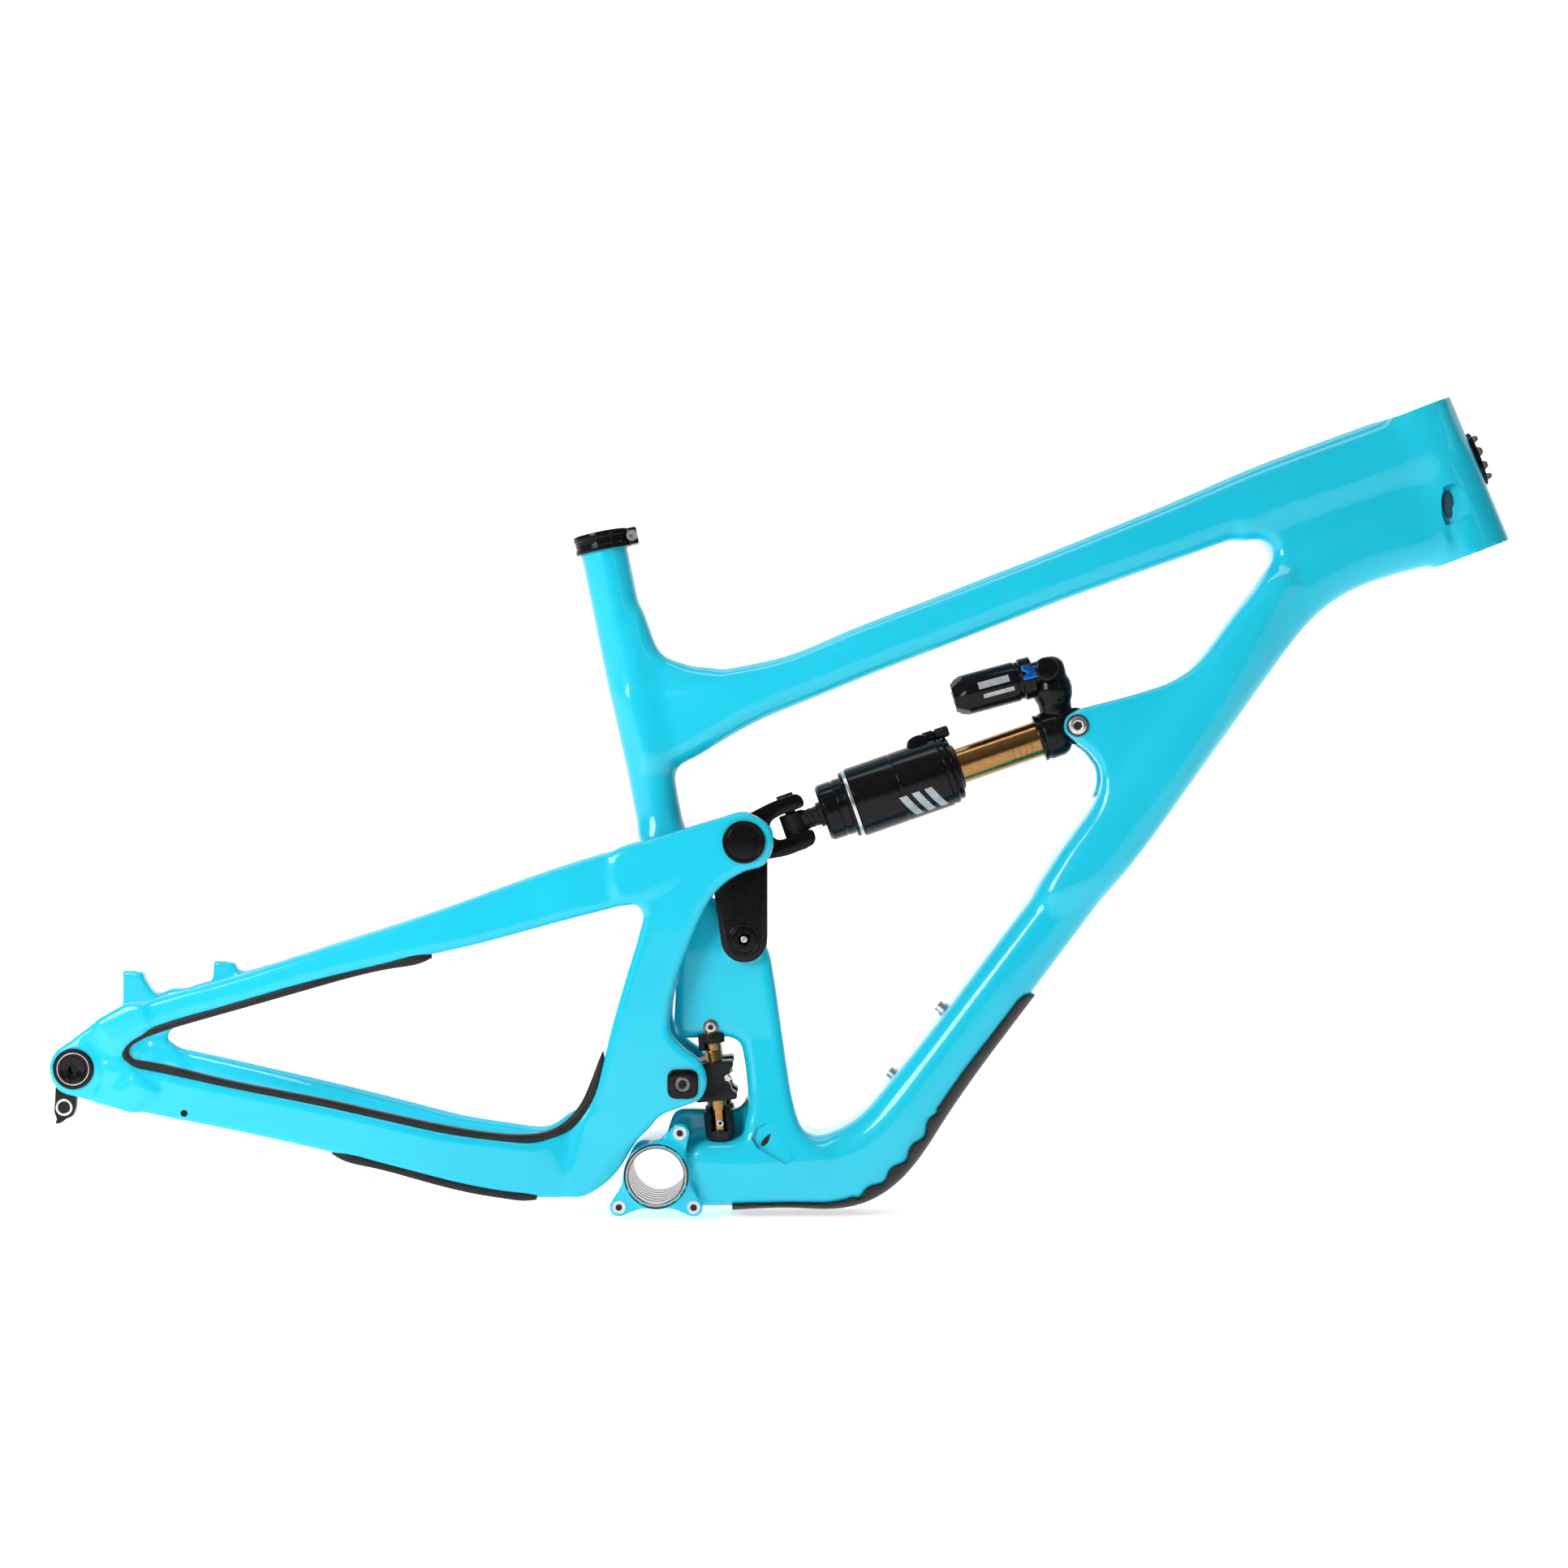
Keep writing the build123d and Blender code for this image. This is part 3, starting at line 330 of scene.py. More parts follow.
def outline(points, step=2.0):
    """Closed smooth outline through points: a centripetal Catmull-Rom loop."""
    points = np.array(points, float)
    loop = []
    count = len(points)
    for i in range(count):
        p0, p1, p2, p3 = (points[(i + j) % count] for j in (-1, 0, 1, 2))
        t1 = np.hypot(*(p1 - p0)) ** 0.5 + 1e-6
        t2 = t1 + np.hypot(*(p2 - p1)) ** 0.5 + 1e-6
        t3 = t2 + np.hypot(*(p3 - p2)) ** 0.5 + 1e-6
        pieces = max(1, int(np.hypot(*(p2 - p1)) / step))
        t = np.linspace(t1, t2, pieces, endpoint=False)[:, None]
        a1 = (t1 - t) / t1 * p0 + t / t1 * p1
        a2 = (t2 - t) / (t2 - t1) * p1 + (t - t1) / (t2 - t1) * p2
        a3 = (t3 - t) / (t3 - t2) * p2 + (t - t2) / (t3 - t2) * p3
        b1 = (t2 - t) / t2 * a1 + t / t2 * a2
        b2 = (t3 - t) / (t3 - t1) * a2 + (t - t1) / (t3 - t1) * a3
        loop.append((t2 - t) / (t2 - t1) * b1 + (t - t1) / (t2 - t1) * b2)
    return np.concatenate(loop)


class Plate:
    """Flat piece: a side outline, a half thickness that may change with height, and rounded edges."""

    def __init__(self, points, half, edge, blend, centre=0.0, smooth=True, paired=True):
        self.loop = outline(points) if smooth else np.array(points, float)
        self.half = half if callable(half) else (lambda x, z: np.full(len(x), float(half)))
        self.edge = edge
        self.centre = centre
        self.paired = paired
        self.blend = blend

    def site(self, x, z):
        near = np.full(len(x), 1e9)
        inside = np.zeros(len(x), bool)
        ends = np.roll(self.loop, -1, axis=0)
        for (ax, az), (bx, bz) in zip(self.loop, ends):
            ex, ez = bx - ax, bz - az
            along = np.clip(((x - ax) * ex + (z - az) * ez) / (ex * ex + ez * ez + 1e-12), 0, 1)
            near = np.minimum(near, (x - ax - along * ex) ** 2 + (z - az - along * ez) ** 2)
            crosses = (az > z) != (bz > z)
            inside ^= crosses & (x < (bx - ax) * (z - az) / (bz - az + 1e-12) + ax)
        away = np.sqrt(near)
        return np.where(inside, -away, away), self.half(x, z)

    def field(self, site, y):
        away, half = site
        y = np.abs((np.abs(y) if self.paired else y) - self.centre)
        a = away + self.edge
        b = y - half + self.edge
        return np.hypot(np.maximum(a, 0), np.maximum(b, 0)) + np.minimum(np.maximum(a, b), 0) - self.edge


def disc(centre, radius, count=64):
    """Outline of a circle in the side plane."""
    turn = np.linspace(0, 2 * math.pi, count, endpoint=False)
    return np.stack([centre[0] + radius * np.cos(turn), centre[1] + radius * np.sin(turn)], 1)


def hull(*outlines):
    """Convex outline around several outlines."""
    points = sorted(map(tuple, np.concatenate(outlines)))
    loop = []
    for run in (points, points[::-1]):
        side = []
        for point in run:
            while len(side) > 1:
                (ax, az), (bx, bz) = side[-2:]
                if (bx - ax) * (point[1] - az) - (bz - az) * (point[0] - ax) > 0:
                    break
                side.pop()
            side.append(point)
        loop += side[:-1]
    return loop


def steps(levels):
    """Half thickness that changes smoothly with height: levels are (z, half thickness)."""
    heights, halves = zip(*levels)
    return lambda x, z: np.interp(z, heights, halves)


def melted(solids, cuts, sites, y):
    """Distance to the solids blended together, less the cuts, for sites in the order solids, cuts."""
    total = None
    for solid, site in zip(solids, sites):
        value = solid.field(site, y)
        if total is None:
            total = value
        else:
            mix = np.maximum(solid.blend - np.abs(total - value), 0)
            total = np.minimum(total, value) - mix * mix / (4 * solid.blend)
    for cut, site in zip(cuts, sites[len(solids):]):
        value = -cut.field(site, y)
        mix = np.maximum(cut.blend - np.abs(total - value), 0)
        total = np.maximum(total, value) + mix * mix / (4 * cut.blend)
    return total


def trilinear(grid, at):
    """Values of a grid of vectors at places given in cells."""
    base = np.clip(np.floor(at).astype(int), 0, np.array(grid.shape[:3]) - 2)
    part = at - base
    total = np.zeros((len(at), 3))
    for corner in range(8):
        offset = np.array([corner & 1, corner >> 1 & 1, corner >> 2 & 1])
        weight = np.prod(np.where(offset, part, 1 - part), axis=1)
        index = base + offset
        total += grid[index[:, 0], index[:, 1], index[:, 2]] * weight[:, None]
    return total


def evened(places, edges, degree):
    """Places moved halfway to the mean of their neighbours."""
    mean = np.zeros_like(places)
    for axis in range(3):
        mean[:, axis] = np.bincount(edges[:, 0], places[edges[:, 1], axis], len(places))
        mean[:, axis] += np.bincount(edges[:, 1], places[edges[:, 0], axis], len(places))
    return places + 0.5 * (mean / degree[:, None] - places)


def skin(name, solids, cuts, low, high, cell=CELL):
    """One smooth closed mesh: the solids melted together, less the cuts."""
    axes = [np.arange(low[i], high[i] + cell, cell) for i in range(3)]
    grid_x, grid_z = np.meshgrid(axes[0], axes[2], indexing="ij")
    flat_x, flat_z = grid_x.ravel(), grid_z.ravel()
    sites = [tuple(s[:, None] for s in part.site(flat_x, flat_z)) for part in solids + cuts]
    block = melted(solids, cuts, sites, axes[1][None, :])
    block = block.reshape(len(axes[0]), len(axes[2]), len(axes[1])).transpose(0, 2, 1)
    limit = 4 * cell
    block = np.ascontiguousarray(np.clip(block, -limit, limit), dtype=np.float32)
    grid = openvdb.FloatGrid(limit)
    grid.copyFromArray(block)
    points, quads = grid.convertToQuads(isovalue=0.0)
    slope = np.stack(np.gradient(block.astype(float), cell), -1)

    origin = np.array([axes[0][0], axes[1][0], axes[2][0]])
    places = origin + points.astype(float) * cell
    edges = np.concatenate([quads[:, [i, (i + 1) % 4]] for i in range(4)]).astype(int)
    degree = np.bincount(edges.ravel(), minlength=len(places)).astype(float)
    for even in (True, True, True, False, False, False):
        if even:
            places = evened(places, edges, degree)
        sites = [part.site(places[:, 0], places[:, 2]) for part in solids + cuts]
        value = melted(solids, cuts, sites, places[:, 1])
        normal = trilinear(slope, (places - origin) / cell)
        size = np.maximum((normal**2).sum(1), 0.25)
        places -= np.clip((value / size)[:, None] * normal, -cell, cell)

    mesh = bpy.data.meshes.new(name)
    mesh.vertices.add(len(places))
    mesh.vertices.foreach_set("co", (places * MM).ravel())
    mesh.loops.add(quads.size)
    mesh.loops.foreach_set("vertex_index", quads.ravel().astype(np.int32))
    mesh.polygons.add(len(quads))
    mesh.polygons.foreach_set("loop_start", np.arange(0, quads.size, 4, dtype=np.int32))
    mesh.update(calc_edges=True)
    mesh.validate()
    outward = bmesh.new()
    outward.from_mesh(mesh)
    if outward.calc_volume(signed=True) < 0:
        bmesh.ops.reverse_faces(outward, faces=outward.faces)
    outward.to_mesh(mesh)
    outward.free()
    mesh.shade_smooth()
    return linked(name, mesh)


# ---------------------------------------------------------------- front triangle
DOWN_STATIONS = [
    (2, -0.5, 24, 37, 0.55), (55, -1.5, 23.3, 36, 0.6), (105, 0.8, 24.3, 36, 0.65),
    (148, 7.0, 28, 35.5, 0.7), (174, 27, 26, 34.5, 0.75), (192, 50.5, 24, 33.5, 0.8),
    (209.8, 74.5, 22.5, 32.5, 0.8), (265, 147.6, 21.8, 31, 0.8), (321, 221.4, 21.4, 29.5, 0.8),
    (371, 288, 21.7, 28.5, 0.8), (421, 355.2, 22, 27.5, 0.8), (454, 401, 22, 26.5, 0.8),
    (485.6, 439.7, 23.2, 25.5, 0.78), (516, 461.3, 24, 25, 0.76), (546, 473, 24, 24.5, 0.76),
    (592, 484.5, 24, 24, 0.76)]
TAB_RADIUS = 36.5
TAB_ANGLES = (61.2, 220, 319.8)
TABS = [(TAB_RADIUS * math.cos(math.radians(a)), TAB_RADIUS * math.sin(math.radians(a))) for a in TAB_ANGLES]
BRACKET_BORE = 20.5
SLEEVE_OUTER = 22.3


def front_triangle():
    """Everything that is one painted piece from the head tube to the bottom bracket."""
    top = Tube([
        (-14, 336, 32, 15, 0.9), (12, 344, 35, 16.5, 0.85), (38, 351.5, 28.5, 18, 0.8),
        (70, 362, 22, 19.2, 0.75), (104, 373, 18.9, 20, 0.75), (151, 392.2, 18.8, 21, 0.75),
        (200, 411.2, 18.8, 21.5, 0.75), (250, 430.6, 18.8, 22, 0.75), (300, 450, 18.9, 22, 0.75),
        (349, 468.8, 19.9, 22, 0.75), (403, 489.5, 21.4, 22.3, 0.72), (455, 510, 23.2, 22.5, 0.7),
        (507, 528.5, 24.5, 22.5, 0.7), (556, 546, 25, 22.5, 0.7), (596, 561.5, 25, 22.5, 0.7)], 12)
    down = Tube(DOWN_STATIONS, 14)
    head = Tube([
        (*HEAD_BOTTOM, 28.2, 28.2, 1.0), (600, 523.75, 26.6, 26.6, 1.0), (*HEAD_TOP, 25.2, 25.2, 1.0)], 14)
    gusset = Plate([
        (464.5, 473), (466.2, 466), (465, 457), (464, 446), (476, 436), (530, 458), (590, 478), (602, 520),
        (585, 556), (520, 530), (470, 512), (440, 494), (443, 481), (456, 479)], 20, 10, 13)
    corner = Plate([
        (-16, 422), (-9, 411), (-5, 402), (0.5, 394), (7.5, 389), (17, 385.5), (28, 382), (42, 379),
        (54, 366), (-20, 366)], 13, 9, 8)
    web = Plate([(8, 15), (11, 41), (15, 45), (58, 46), (66, 49), (74, 54), (80, 15)], 10, 2, 3)
    seat = Tube([
        (-43.6, 480.4, 17.9, 17.9, 1.0), (-32, 424.5, 17.9, 17.9, 1.0), (-20.5, 368, 17.9, 17.9, 1.0),
        (-5.6, 300, 17.6, 17.8, 0.98), (3, 256, 17.3, 18, 0.95), (11, 230, 17.4, 20, 0.85),
        (20, 208, 18, 23, 0.75)], 14)
    mast = Plate([
        (14, 104), (13.5, 140), (12, 172), (7, 200), (-2, 228), (-9, 246), (-10, 256), (4, 262),
        (17, 256), (23, 240), (31, 222), (42, 206), (58, 194), (74, 183), (83.5, 168), (88.5, 144),
        (93, 113), (97.5, 81.5), (102, 55), (107.5, 37), (116, 24), (128, 12), (110, -6), (60, -4),
        (30, 6), (30, 20), (46, 22.5), (57, 23), (64, 28), (66, 38), (68.5, 50), (67.5, 70), (65, 88),
        (62.5, 97), (56, 101.5), (40, 102), (20, 101.5)],
        steps([(0, 35), (25, 34), (60, 29.5), (101, 27.5), (170, 27.3), (206, 23), (255, 17.5)]), 8, 12)
    boss = Plate(disc(LINK_PIVOT, 14.5), 27.6, 1.5, 5, smooth=False)
    shell = Plate(disc((0, 0), 24.9), 46, 1.2, 7, smooth=False)
    fin = Plate([
        (296, 212), (306, 236), (318, 254), (330.5, 272), (336, 289), (334.5, 304), (327, 316), (315, 325.5),
        (307.5, 333), (308.5, 343), (317, 349), (328, 352.5), (349, 357.8), (385, 369), (404, 378.5),
        (416, 389), (425.5, 401), (440, 420), (450, 431), (462, 444), (474, 446), (462, 420), (420, 340),
        (340, 225)], 26.5, 5, 20)
    slot = Plate([
        (290, 290), (290, 380), (352, 380), (354, 330), (346, 300), (335, 285), (320, 280)], 14.6, 1, 2)
    tabs = [Plate(hull(disc(place, 7.0), disc((0.45 * place[0], 0.45 * place[1]), 13)), 3.0, 1.2, 5,
                  centre=-40.5, smooth=False, paired=False) for place in TABS]
    solids = [top, down, head, gusset, corner, web, seat, mast, boss, shell, fin] + tabs
    return skin("front_triangle", solids, [slot], (-75, -54, -36), (662, 54, 606))


BRIDGE = [(-32, 109), (-20, 106), (-14.5, 120), (-10.5, 134), (-21, 138), (-27, 123)]
POST_LOW = (-416.0, 146.0)
POST_HIGH = (-344.0, 153.5)


def swingarm_skin():
    """The one-piece painted swingarm with its dropouts and brake posts."""
    upright = Plate([
        (66, 272), (45, 267), (20, 259.6), (-5, 251.5), (-28, 243.5), (-34, 226), (-27, 206), (-16, 203.5),
        (-10, 196), (-13, 180), (-19, 160), (-26.5, 135), (-34, 108), (-40, 84), (-48, 62), (-58, 40),
        (-63, 18), (-65, -4), (-61, -13), (-56, -13.4), (-49.6, -10), (-39, 1), (-29.4, 12.6), (-18, 24.5),
        (-7, 34), (3, 45), (18, 51.5), (33, 58), (38, 71), (33, 86), (20, 96.5), (11, 107), (9.8, 122),
        (15, 147), (24, 172), (33.5, 194), (42, 209), (52, 219.5), (66, 227.7), (80, 232.5), (87.5, 247),
        (84, 262)], 7, 4.5, 8, centre=43)
    seatstay = Tube([
        (14, 236, 12, 1, 0.8, 43), (-30, 222.5, 20, 5.4, 0.85, 43.6), (-62, 213.5, 20, 6.9, 0.9, 46.4),
        (-98, 202.5, 18.8, 7, 0.9, 50.2), (-136, 190.5, 17, 6.8, 0.9, 54.6), (-191, 175, 13.6, 6.6, 0.95, 61),
        (-250, 158.6, 11.3, 6.3, 1.0, 67), (-326, 136, 10.2, 5.8, 1.0, 74), (-372, 122.5, 10.5, 5.2, 1.0, 78),
        (-402, 108, 12, 5, 1.0, 79)], 8)
    chainstay = Tube([
        (-24, 46, 12, 1, 0.9, 43), (-56, 15.5, 27, 4.8, 0.85, 43.6), (-84, 6.3, 22, 6.9, 0.9, 47.3),
        (-115, 8.8, 20.2, 7, 0.9, 51), (-153, 15.5, 18.8, 7, 0.92, 55.5), (-191, 25.3, 17.6, 7, 0.95, 60),
        (-249, 40, 16.8, 6.8, 0.95, 66.5), (-326, 57.3, 16.3, 6, 1.0, 74), (-376, 68, 16, 5.2, 1.0, 78.5),
        (-406, 75, 15, 5, 1.0, 79)], 8)
    dropout = Plate([
        (-384, 132), (-403, 123), (-422, 109.6), (-434, 100), (-440, 94), (-443, 84.6), (-441.5, 75),
        (-436, 67), (-426, 63.5), (-403, 57.5), (-380, 53), (-376, 70), (-384, 86), (-390, 93), (-385, 103),
        (-374, 112), (-374, 127)], 5, 2.5, 6, centre=79)
    eye = Plate(disc(REAR_AXLE, 17.4), 5, 2, 4, centre=79, smooth=False)
    upper_bridge = Plate(BRIDGE, 38, 4, 6)
    lower_bridge = Plate([(-50, 12), (-44, 8), (-38, 12), (-37, 40), (-43, 44), (-50, 40)], 38, 3, 8)
    post_loops = (
        [(-423.5, 146.8), (-408.5, 145.2), (-407, 140), (-401, 131), (-390, 122), (-400, 105), (-424, 100)],
        [(-352, 154.2), (-336.5, 152.8), (-334, 148), (-322, 137), (-340, 125), (-360, 122), (-353, 140)])
    posts = [Plate(loop, 7.6, 2, 5, centre=76, smooth=False, paired=False) for loop in post_loops]
    exit_bump = Plate(outline([(-392, 66), (-384, 76), (-374, 74), (-366, 66), (-376, 62)]), 2.6, 2, 6,
                      centre=-82.5, smooth=False, paired=False)
    solids = [upright, seatstay, chainstay, dropout, eye, upper_bridge, lower_bridge, exit_bump] + posts
    return skin("swingarm_skin", solids, [], (-458, -92, -28), (104, 92, 286))


front = front_triangle()
arm = swingarm_skin()


def finish_mesh(obj, look, body, replaced=(), angle=35):
    """Material, shading, body and the CAD nodes that the piece stands for."""
    obj.data.materials.clear()
    obj.data.materials.append(look)
    obj.data.shade_smooth()
    obj.data.set_sharp_from_angle(angle=math.radians(angle))
    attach(obj, body)
    if replaced:
        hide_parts(*replaced)


def from_bmesh(name, bm):
    """Object from a bmesh in millimetres, with its faces turned outwards."""
    bmesh.ops.recalc_face_normals(bm, faces=bm.faces)
    if bm.calc_volume(signed=True) < 0:
        bmesh.ops.reverse_faces(bm, faces=bm.faces)
    bmesh.ops.scale(bm, vec=(MM, MM, MM), verts=bm.verts)
    mesh = bpy.data.meshes.new(name)
    bm.to_mesh(mesh)
    bm.free()
    return linked(name, mesh)


def joined(name, objects):
    """Several closed meshes as one object."""
    bm = bmesh.new()
    for obj in objects:
        bm.from_mesh(obj.data)
        bpy.data.objects.remove(obj)
    mesh = bpy.data.meshes.new(name)
    bm.to_mesh(mesh)
    bm.free()
    return linked(name, mesh)


def combine(operation, obj, others):
    """Boolean of closed meshes: the others are used up."""
    for other in others:
        modifier = obj.modifiers.new("combine", "BOOLEAN")
        modifier.operation = operation
        modifier.solver = "MANIFOLD"
        modifier.object = other
        graph = bpy.context.evaluated_depsgraph_get()
        mesh = bpy.data.meshes.new_from_object(obj.evaluated_get(graph))
        obj.modifiers.clear()
        obj.data = mesh
        bpy.data.objects.remove(other)
    return obj


def cut(obj, *cutters):
    """Takes closed meshes out of a closed mesh."""
    return combine("DIFFERENCE", obj, cutters)


def fuse(obj, *others):
    """Adds closed meshes to a closed mesh."""
    return combine("UNION", obj, others)


def eased(profile, radius, closed=False, pieces=5, share=0.42):
    """Profile with every corner rounded by a small arc, at most a share of the runs beside it."""
    count = len(profile)
    points = []
    for i, point in enumerate(profile):
        if not closed and i in (0, count - 1):
            points.append(tuple(point))
            continue
        here = np.array(point[:2], float)
        back = np.array(profile[i - 1][:2], float) - here
        ahead = np.array(profile[(i + 1) % count][:2], float) - here
        size = min(radius, share * np.hypot(*back), share * np.hypot(*ahead))
        start = here + back / np.hypot(*back) * size
        end = here + ahead / np.hypot(*ahead) * size
        for t in np.linspace(0, 1, pieces):
            points.append(tuple((1 - t) ** 2 * start + 2 * t * (1 - t) * here + t**2 * end))
    return points


def rounded(corners, radius, pieces=5):
    """Closed outline whose corners are arcs."""
    return eased(corners, radius, True, pieces, 0.45)


def bar(low, high, radius):
    """Profile of a plain round bar."""
    return [(low, 0), (low, radius), (high, radius), (high, 0)]


def band(low, high, inner, outer, ease):
    """Closed profile of a ring with eased edges."""
    return eased([(low, inner), (low, outer), (high, outer), (high, inner)], ease, True)


def hexagon(top, floor, radius):
    """End of a profile that sinks a hexagon socket into the piece."""
    return [(top, radius, 6), (floor, radius, 6), (floor, 0)]


def lathe(name, profile, origin, axis, segments=96, closed=False):
    """Turned piece: rings of (distance, radius) along an axis, or (distance, radius, number of sides)."""
    axis = Vector(axis).normalized()
    side = axis.orthogonal().normalized()
    other = axis.cross(side)
    bm = bmesh.new()
    rings = []
    for along, radius, *sides in profile:
        centre = Vector(origin) + axis * along
        if radius < 1e-6:
            rings.append([bm.verts.new(centre)])
            continue
        ring = []
        for i in range(segments):
            turn = 2 * math.pi * i / segments
            reach = radius
            if sides:
                sector = 2 * math.pi / sides[0]
                reach = radius * math.cos(sector / 2) / math.cos((turn % sector) - sector / 2)
            ring.append(bm.verts.new(centre + (side * math.cos(turn) + other * math.sin(turn)) * reach))
        rings.append(ring)
    pairs = list(zip(rings, rings[1:]))
    if closed:
        pairs.append((rings[-1], rings[0]))
    for first, second in pairs:
        for i in range(segments):
            j = (i + 1) % segments
            a, b = (first[i], first[j]) if len(first) > 1 else (first[0], first[0])
            c, d = (second[j], second[i]) if len(second) > 1 else (second[0], second[0])
            corners = list(dict.fromkeys((a, b, c, d)))
            if len(corners) > 2:
                bm.faces.new(corners)
    return from_bmesh(name, bm)


def turned(name, place, profile, segments=96, side=1, closed=False):
    """Turned piece on an axis across the frame, from the centre plane to the chain side or the other."""
    return lathe(name, profile, (place[0], 0, place[1]), (0, -side, 0), segments, closed)


def rod(name, place, radius, low, high, segments=64, ease=0.0):
    """Round bar along Y between two distances from the centre plane."""
    profile = bar(low, high, radius)
    if ease:
        profile = eased(profile, ease)
    return lathe(name, profile, (place[0], 0, place[1]), (0, 1, 0), segments)


def bore(place, radius, low=-70.0, high=70.0):
    """Cutter along Y."""
    return rod("cutter", place, radius, low, high, 96)


def drill(origin, axis, radius, low, high, segments=48):
    """Cutter along any axis."""
    return lathe("cutter", bar(low, high, radius), origin, axis, segments)


def hex_bolt(name, place, radius, base, height, socket):
    """Socket-head screw facing the chain side, its head standing on a base distance."""
    top = base + height
    head = eased([(base, 0), (base, radius), (top, radius), (top, socket * 1.12)], min(0.6, height / 4))
    return turned(name, place, head + hexagon(top - 0.4, base + height * 0.35, socket), 72)


def span(side, near, far):
    """Low and high Y between two distances from the centre plane on one side."""
    return sorted((-side * near, -side * far))


def prism(name, loop, low, high, bevel=0.8, plane=None):
    """Side outline given thickness along Y (or along the normal of a plane matrix), with bevelled edges."""
    bm = bmesh.new()
    bottom = [bm.verts.new((x, low, z)) for x, z in loop]
    top = [bm.verts.new((x, high, z)) for x, z in loop]
    bm.faces.new(bottom)
    bm.faces.new(top[::-1])
    for i in range(len(loop)):
        j = (i + 1) % len(loop)
        bm.faces.new((bottom[i], top[i], top[j], bottom[j]))
    bmesh.ops.recalc_face_normals(bm, faces=bm.faces)
    if bevel:
        rim = [e for e in bm.edges if abs(e.verts[0].co.y - e.verts[1].co.y) < 1e-6]
        bmesh.ops.bevel(bm, geom=rim, offset=bevel, segments=3, profile=0.5, affect="EDGES")
    if plane is not None:
        bmesh.ops.transform(bm, matrix=plane, verts=bm.verts)
    return from_bmesh(name, bm)


def sweep(name, stations, sides=24, square=0.6):
    """Strip along a smooth path: stations are (x, y, z, half thickness, half width)."""
    rows = np.array(stations, float)
    step = np.linalg.norm(np.diff(rows[:, :3], axis=0), axis=1)
    knots = np.concatenate([[0], np.cumsum(step)])
    value, slope, _ = cubic(knots, rows)(np.linspace(0, knots[-1], max(8, int(knots[-1] / 3))))
    bm = bmesh.new()
    rings = []
    for row, along in zip(value, slope):
        along = Vector(along[:3]).normalized()
        across = Vector((0, 1, 0))
        across = (across - along * across.dot(along)).normalized()
        up = along.cross(across)
        ring = []
        for i in range(sides):
            turn = 2 * math.pi * (i + 0.5) / sides
            a, b = math.cos(turn), math.sin(turn)
            a, b = math.copysign(abs(a) ** square, a), math.copysign(abs(b) ** square, b)
            place = Vector(row[:3]) + across * a * max(row[4], 0.2) + up * b * max(row[3], 0.2)
            ring.append(bm.verts.new(place))
        rings.append(ring)
    for first, second in zip(rings, rings[1:]):
        for i in range(sides):
            j = (i + 1) % sides
            bm.faces.new((first[i], first[j], second[j], second[i]))
    bm.faces.new(rings[0][::-1])
    bm.faces.new(rings[-1])
    return from_bmesh(name, bm)


# ---------------------------------------------------------------- axes of the turned parts
def flat(place):
    """Point in the centre plane."""
    return Vector((place[0], 0, place[1]))


def square_up(axis):
    """Direction in the centre plane a quarter turn from an axis."""
    return Vector((axis.z, 0, -axis.x))


SHOCK_BACK = Vector((-251.1, 0, -87.3)).normalized()
SHOCK_UP = square_up(SHOCK_BACK)
SHOCK_ORIGIN = flat(SHOCK_PIVOT)
RAIL_FOOT = Vector((47.0, 0, 35.0))
RAIL_LINE = Vector((-7.0, 0, 73.0)).normalized()
RAIL_HALF = 23.0
RAIL_RADIUS = 6.2
HEAD_FOOT = flat(HEAD_BOTTOM)
HEAD_LINE = flat(HEAD_TOP) - HEAD_FOOT
HEAD_LENGTH = HEAD_LINE.length
HEAD_AXIS = HEAD_LINE.normalized()
HEAD_FRONT = square_up(HEAD_AXIS)
LOWER_CUP = 12
UPPER_CUP = HEAD_LENGTH - 9
SEAT_MOUTH = Vector((-43.5, 0, 480))
SEAT_ANGLE = math.radians(101.6)
SEAT_AXIS = Vector((math.cos(SEAT_ANGLE), 0, math.sin(SEAT_ANGLE)))
SEAT_FRONT = square_up(SEAT_AXIS)
POST_UP = -square_up(flat(POST_HIGH) - flat(POST_LOW)).normalized()
HANGER_HOLE = (-433.5, 55.5)
CABLE_EXIT = (-345.5, 51)
RAIL_SCREW = (40.3, 110.0)
SOCKET_SCREW = (47.5, 38.0)


def on_shock(along, up=0.0):
    """Point behind the front bolt along the shock, and above its axis."""
    return SHOCK_ORIGIN + SHOCK_BACK * along + SHOCK_UP * up


def on_rail(along, side=0.0):
    """Point on the carriage rails above their foot."""
    return RAIL_FOOT + RAIL_LINE * along + Vector((0, -side, 0))


def rail_loop(along, offsets):
    """Side outline from offsets around a place on the rails."""
    return [(on_rail(along).x + dx, on_rail(along).z + dz) for dx, dz in offsets]


def square_to(origin, across, through, up):
    """Matrix that stands a prism's outline in a plane: its x, y and z directions."""
    rows = [(across[i], through[i], up[i], origin[i]) for i in range(3)]
    return Matrix(rows + [(0, 0, 0, 1)])


# ---------------------------------------------------------------- bores in the skins
def scoop(corners, outer):
    """Wedge-shaped cutter: corners are (x, z, depth of the floor from the centre plane)."""
    bm = bmesh.new()
    top = [bm.verts.new((x, -outer, z)) for x, z, _ in corners]
    floor = [bm.verts.new((x, -depth, z)) for x, z, depth in corners]
    bm.faces.new(top)
    bm.faces.new(floor[::-1])
    for i in range(len(corners)):
        j = (i + 1) % len(corners)
        bm.faces.new((top[i], floor[i], floor[j], top[j]))
    bmesh.ops.triangulate(bm, faces=bm.faces)
    return from_bmesh("cutter", bm)


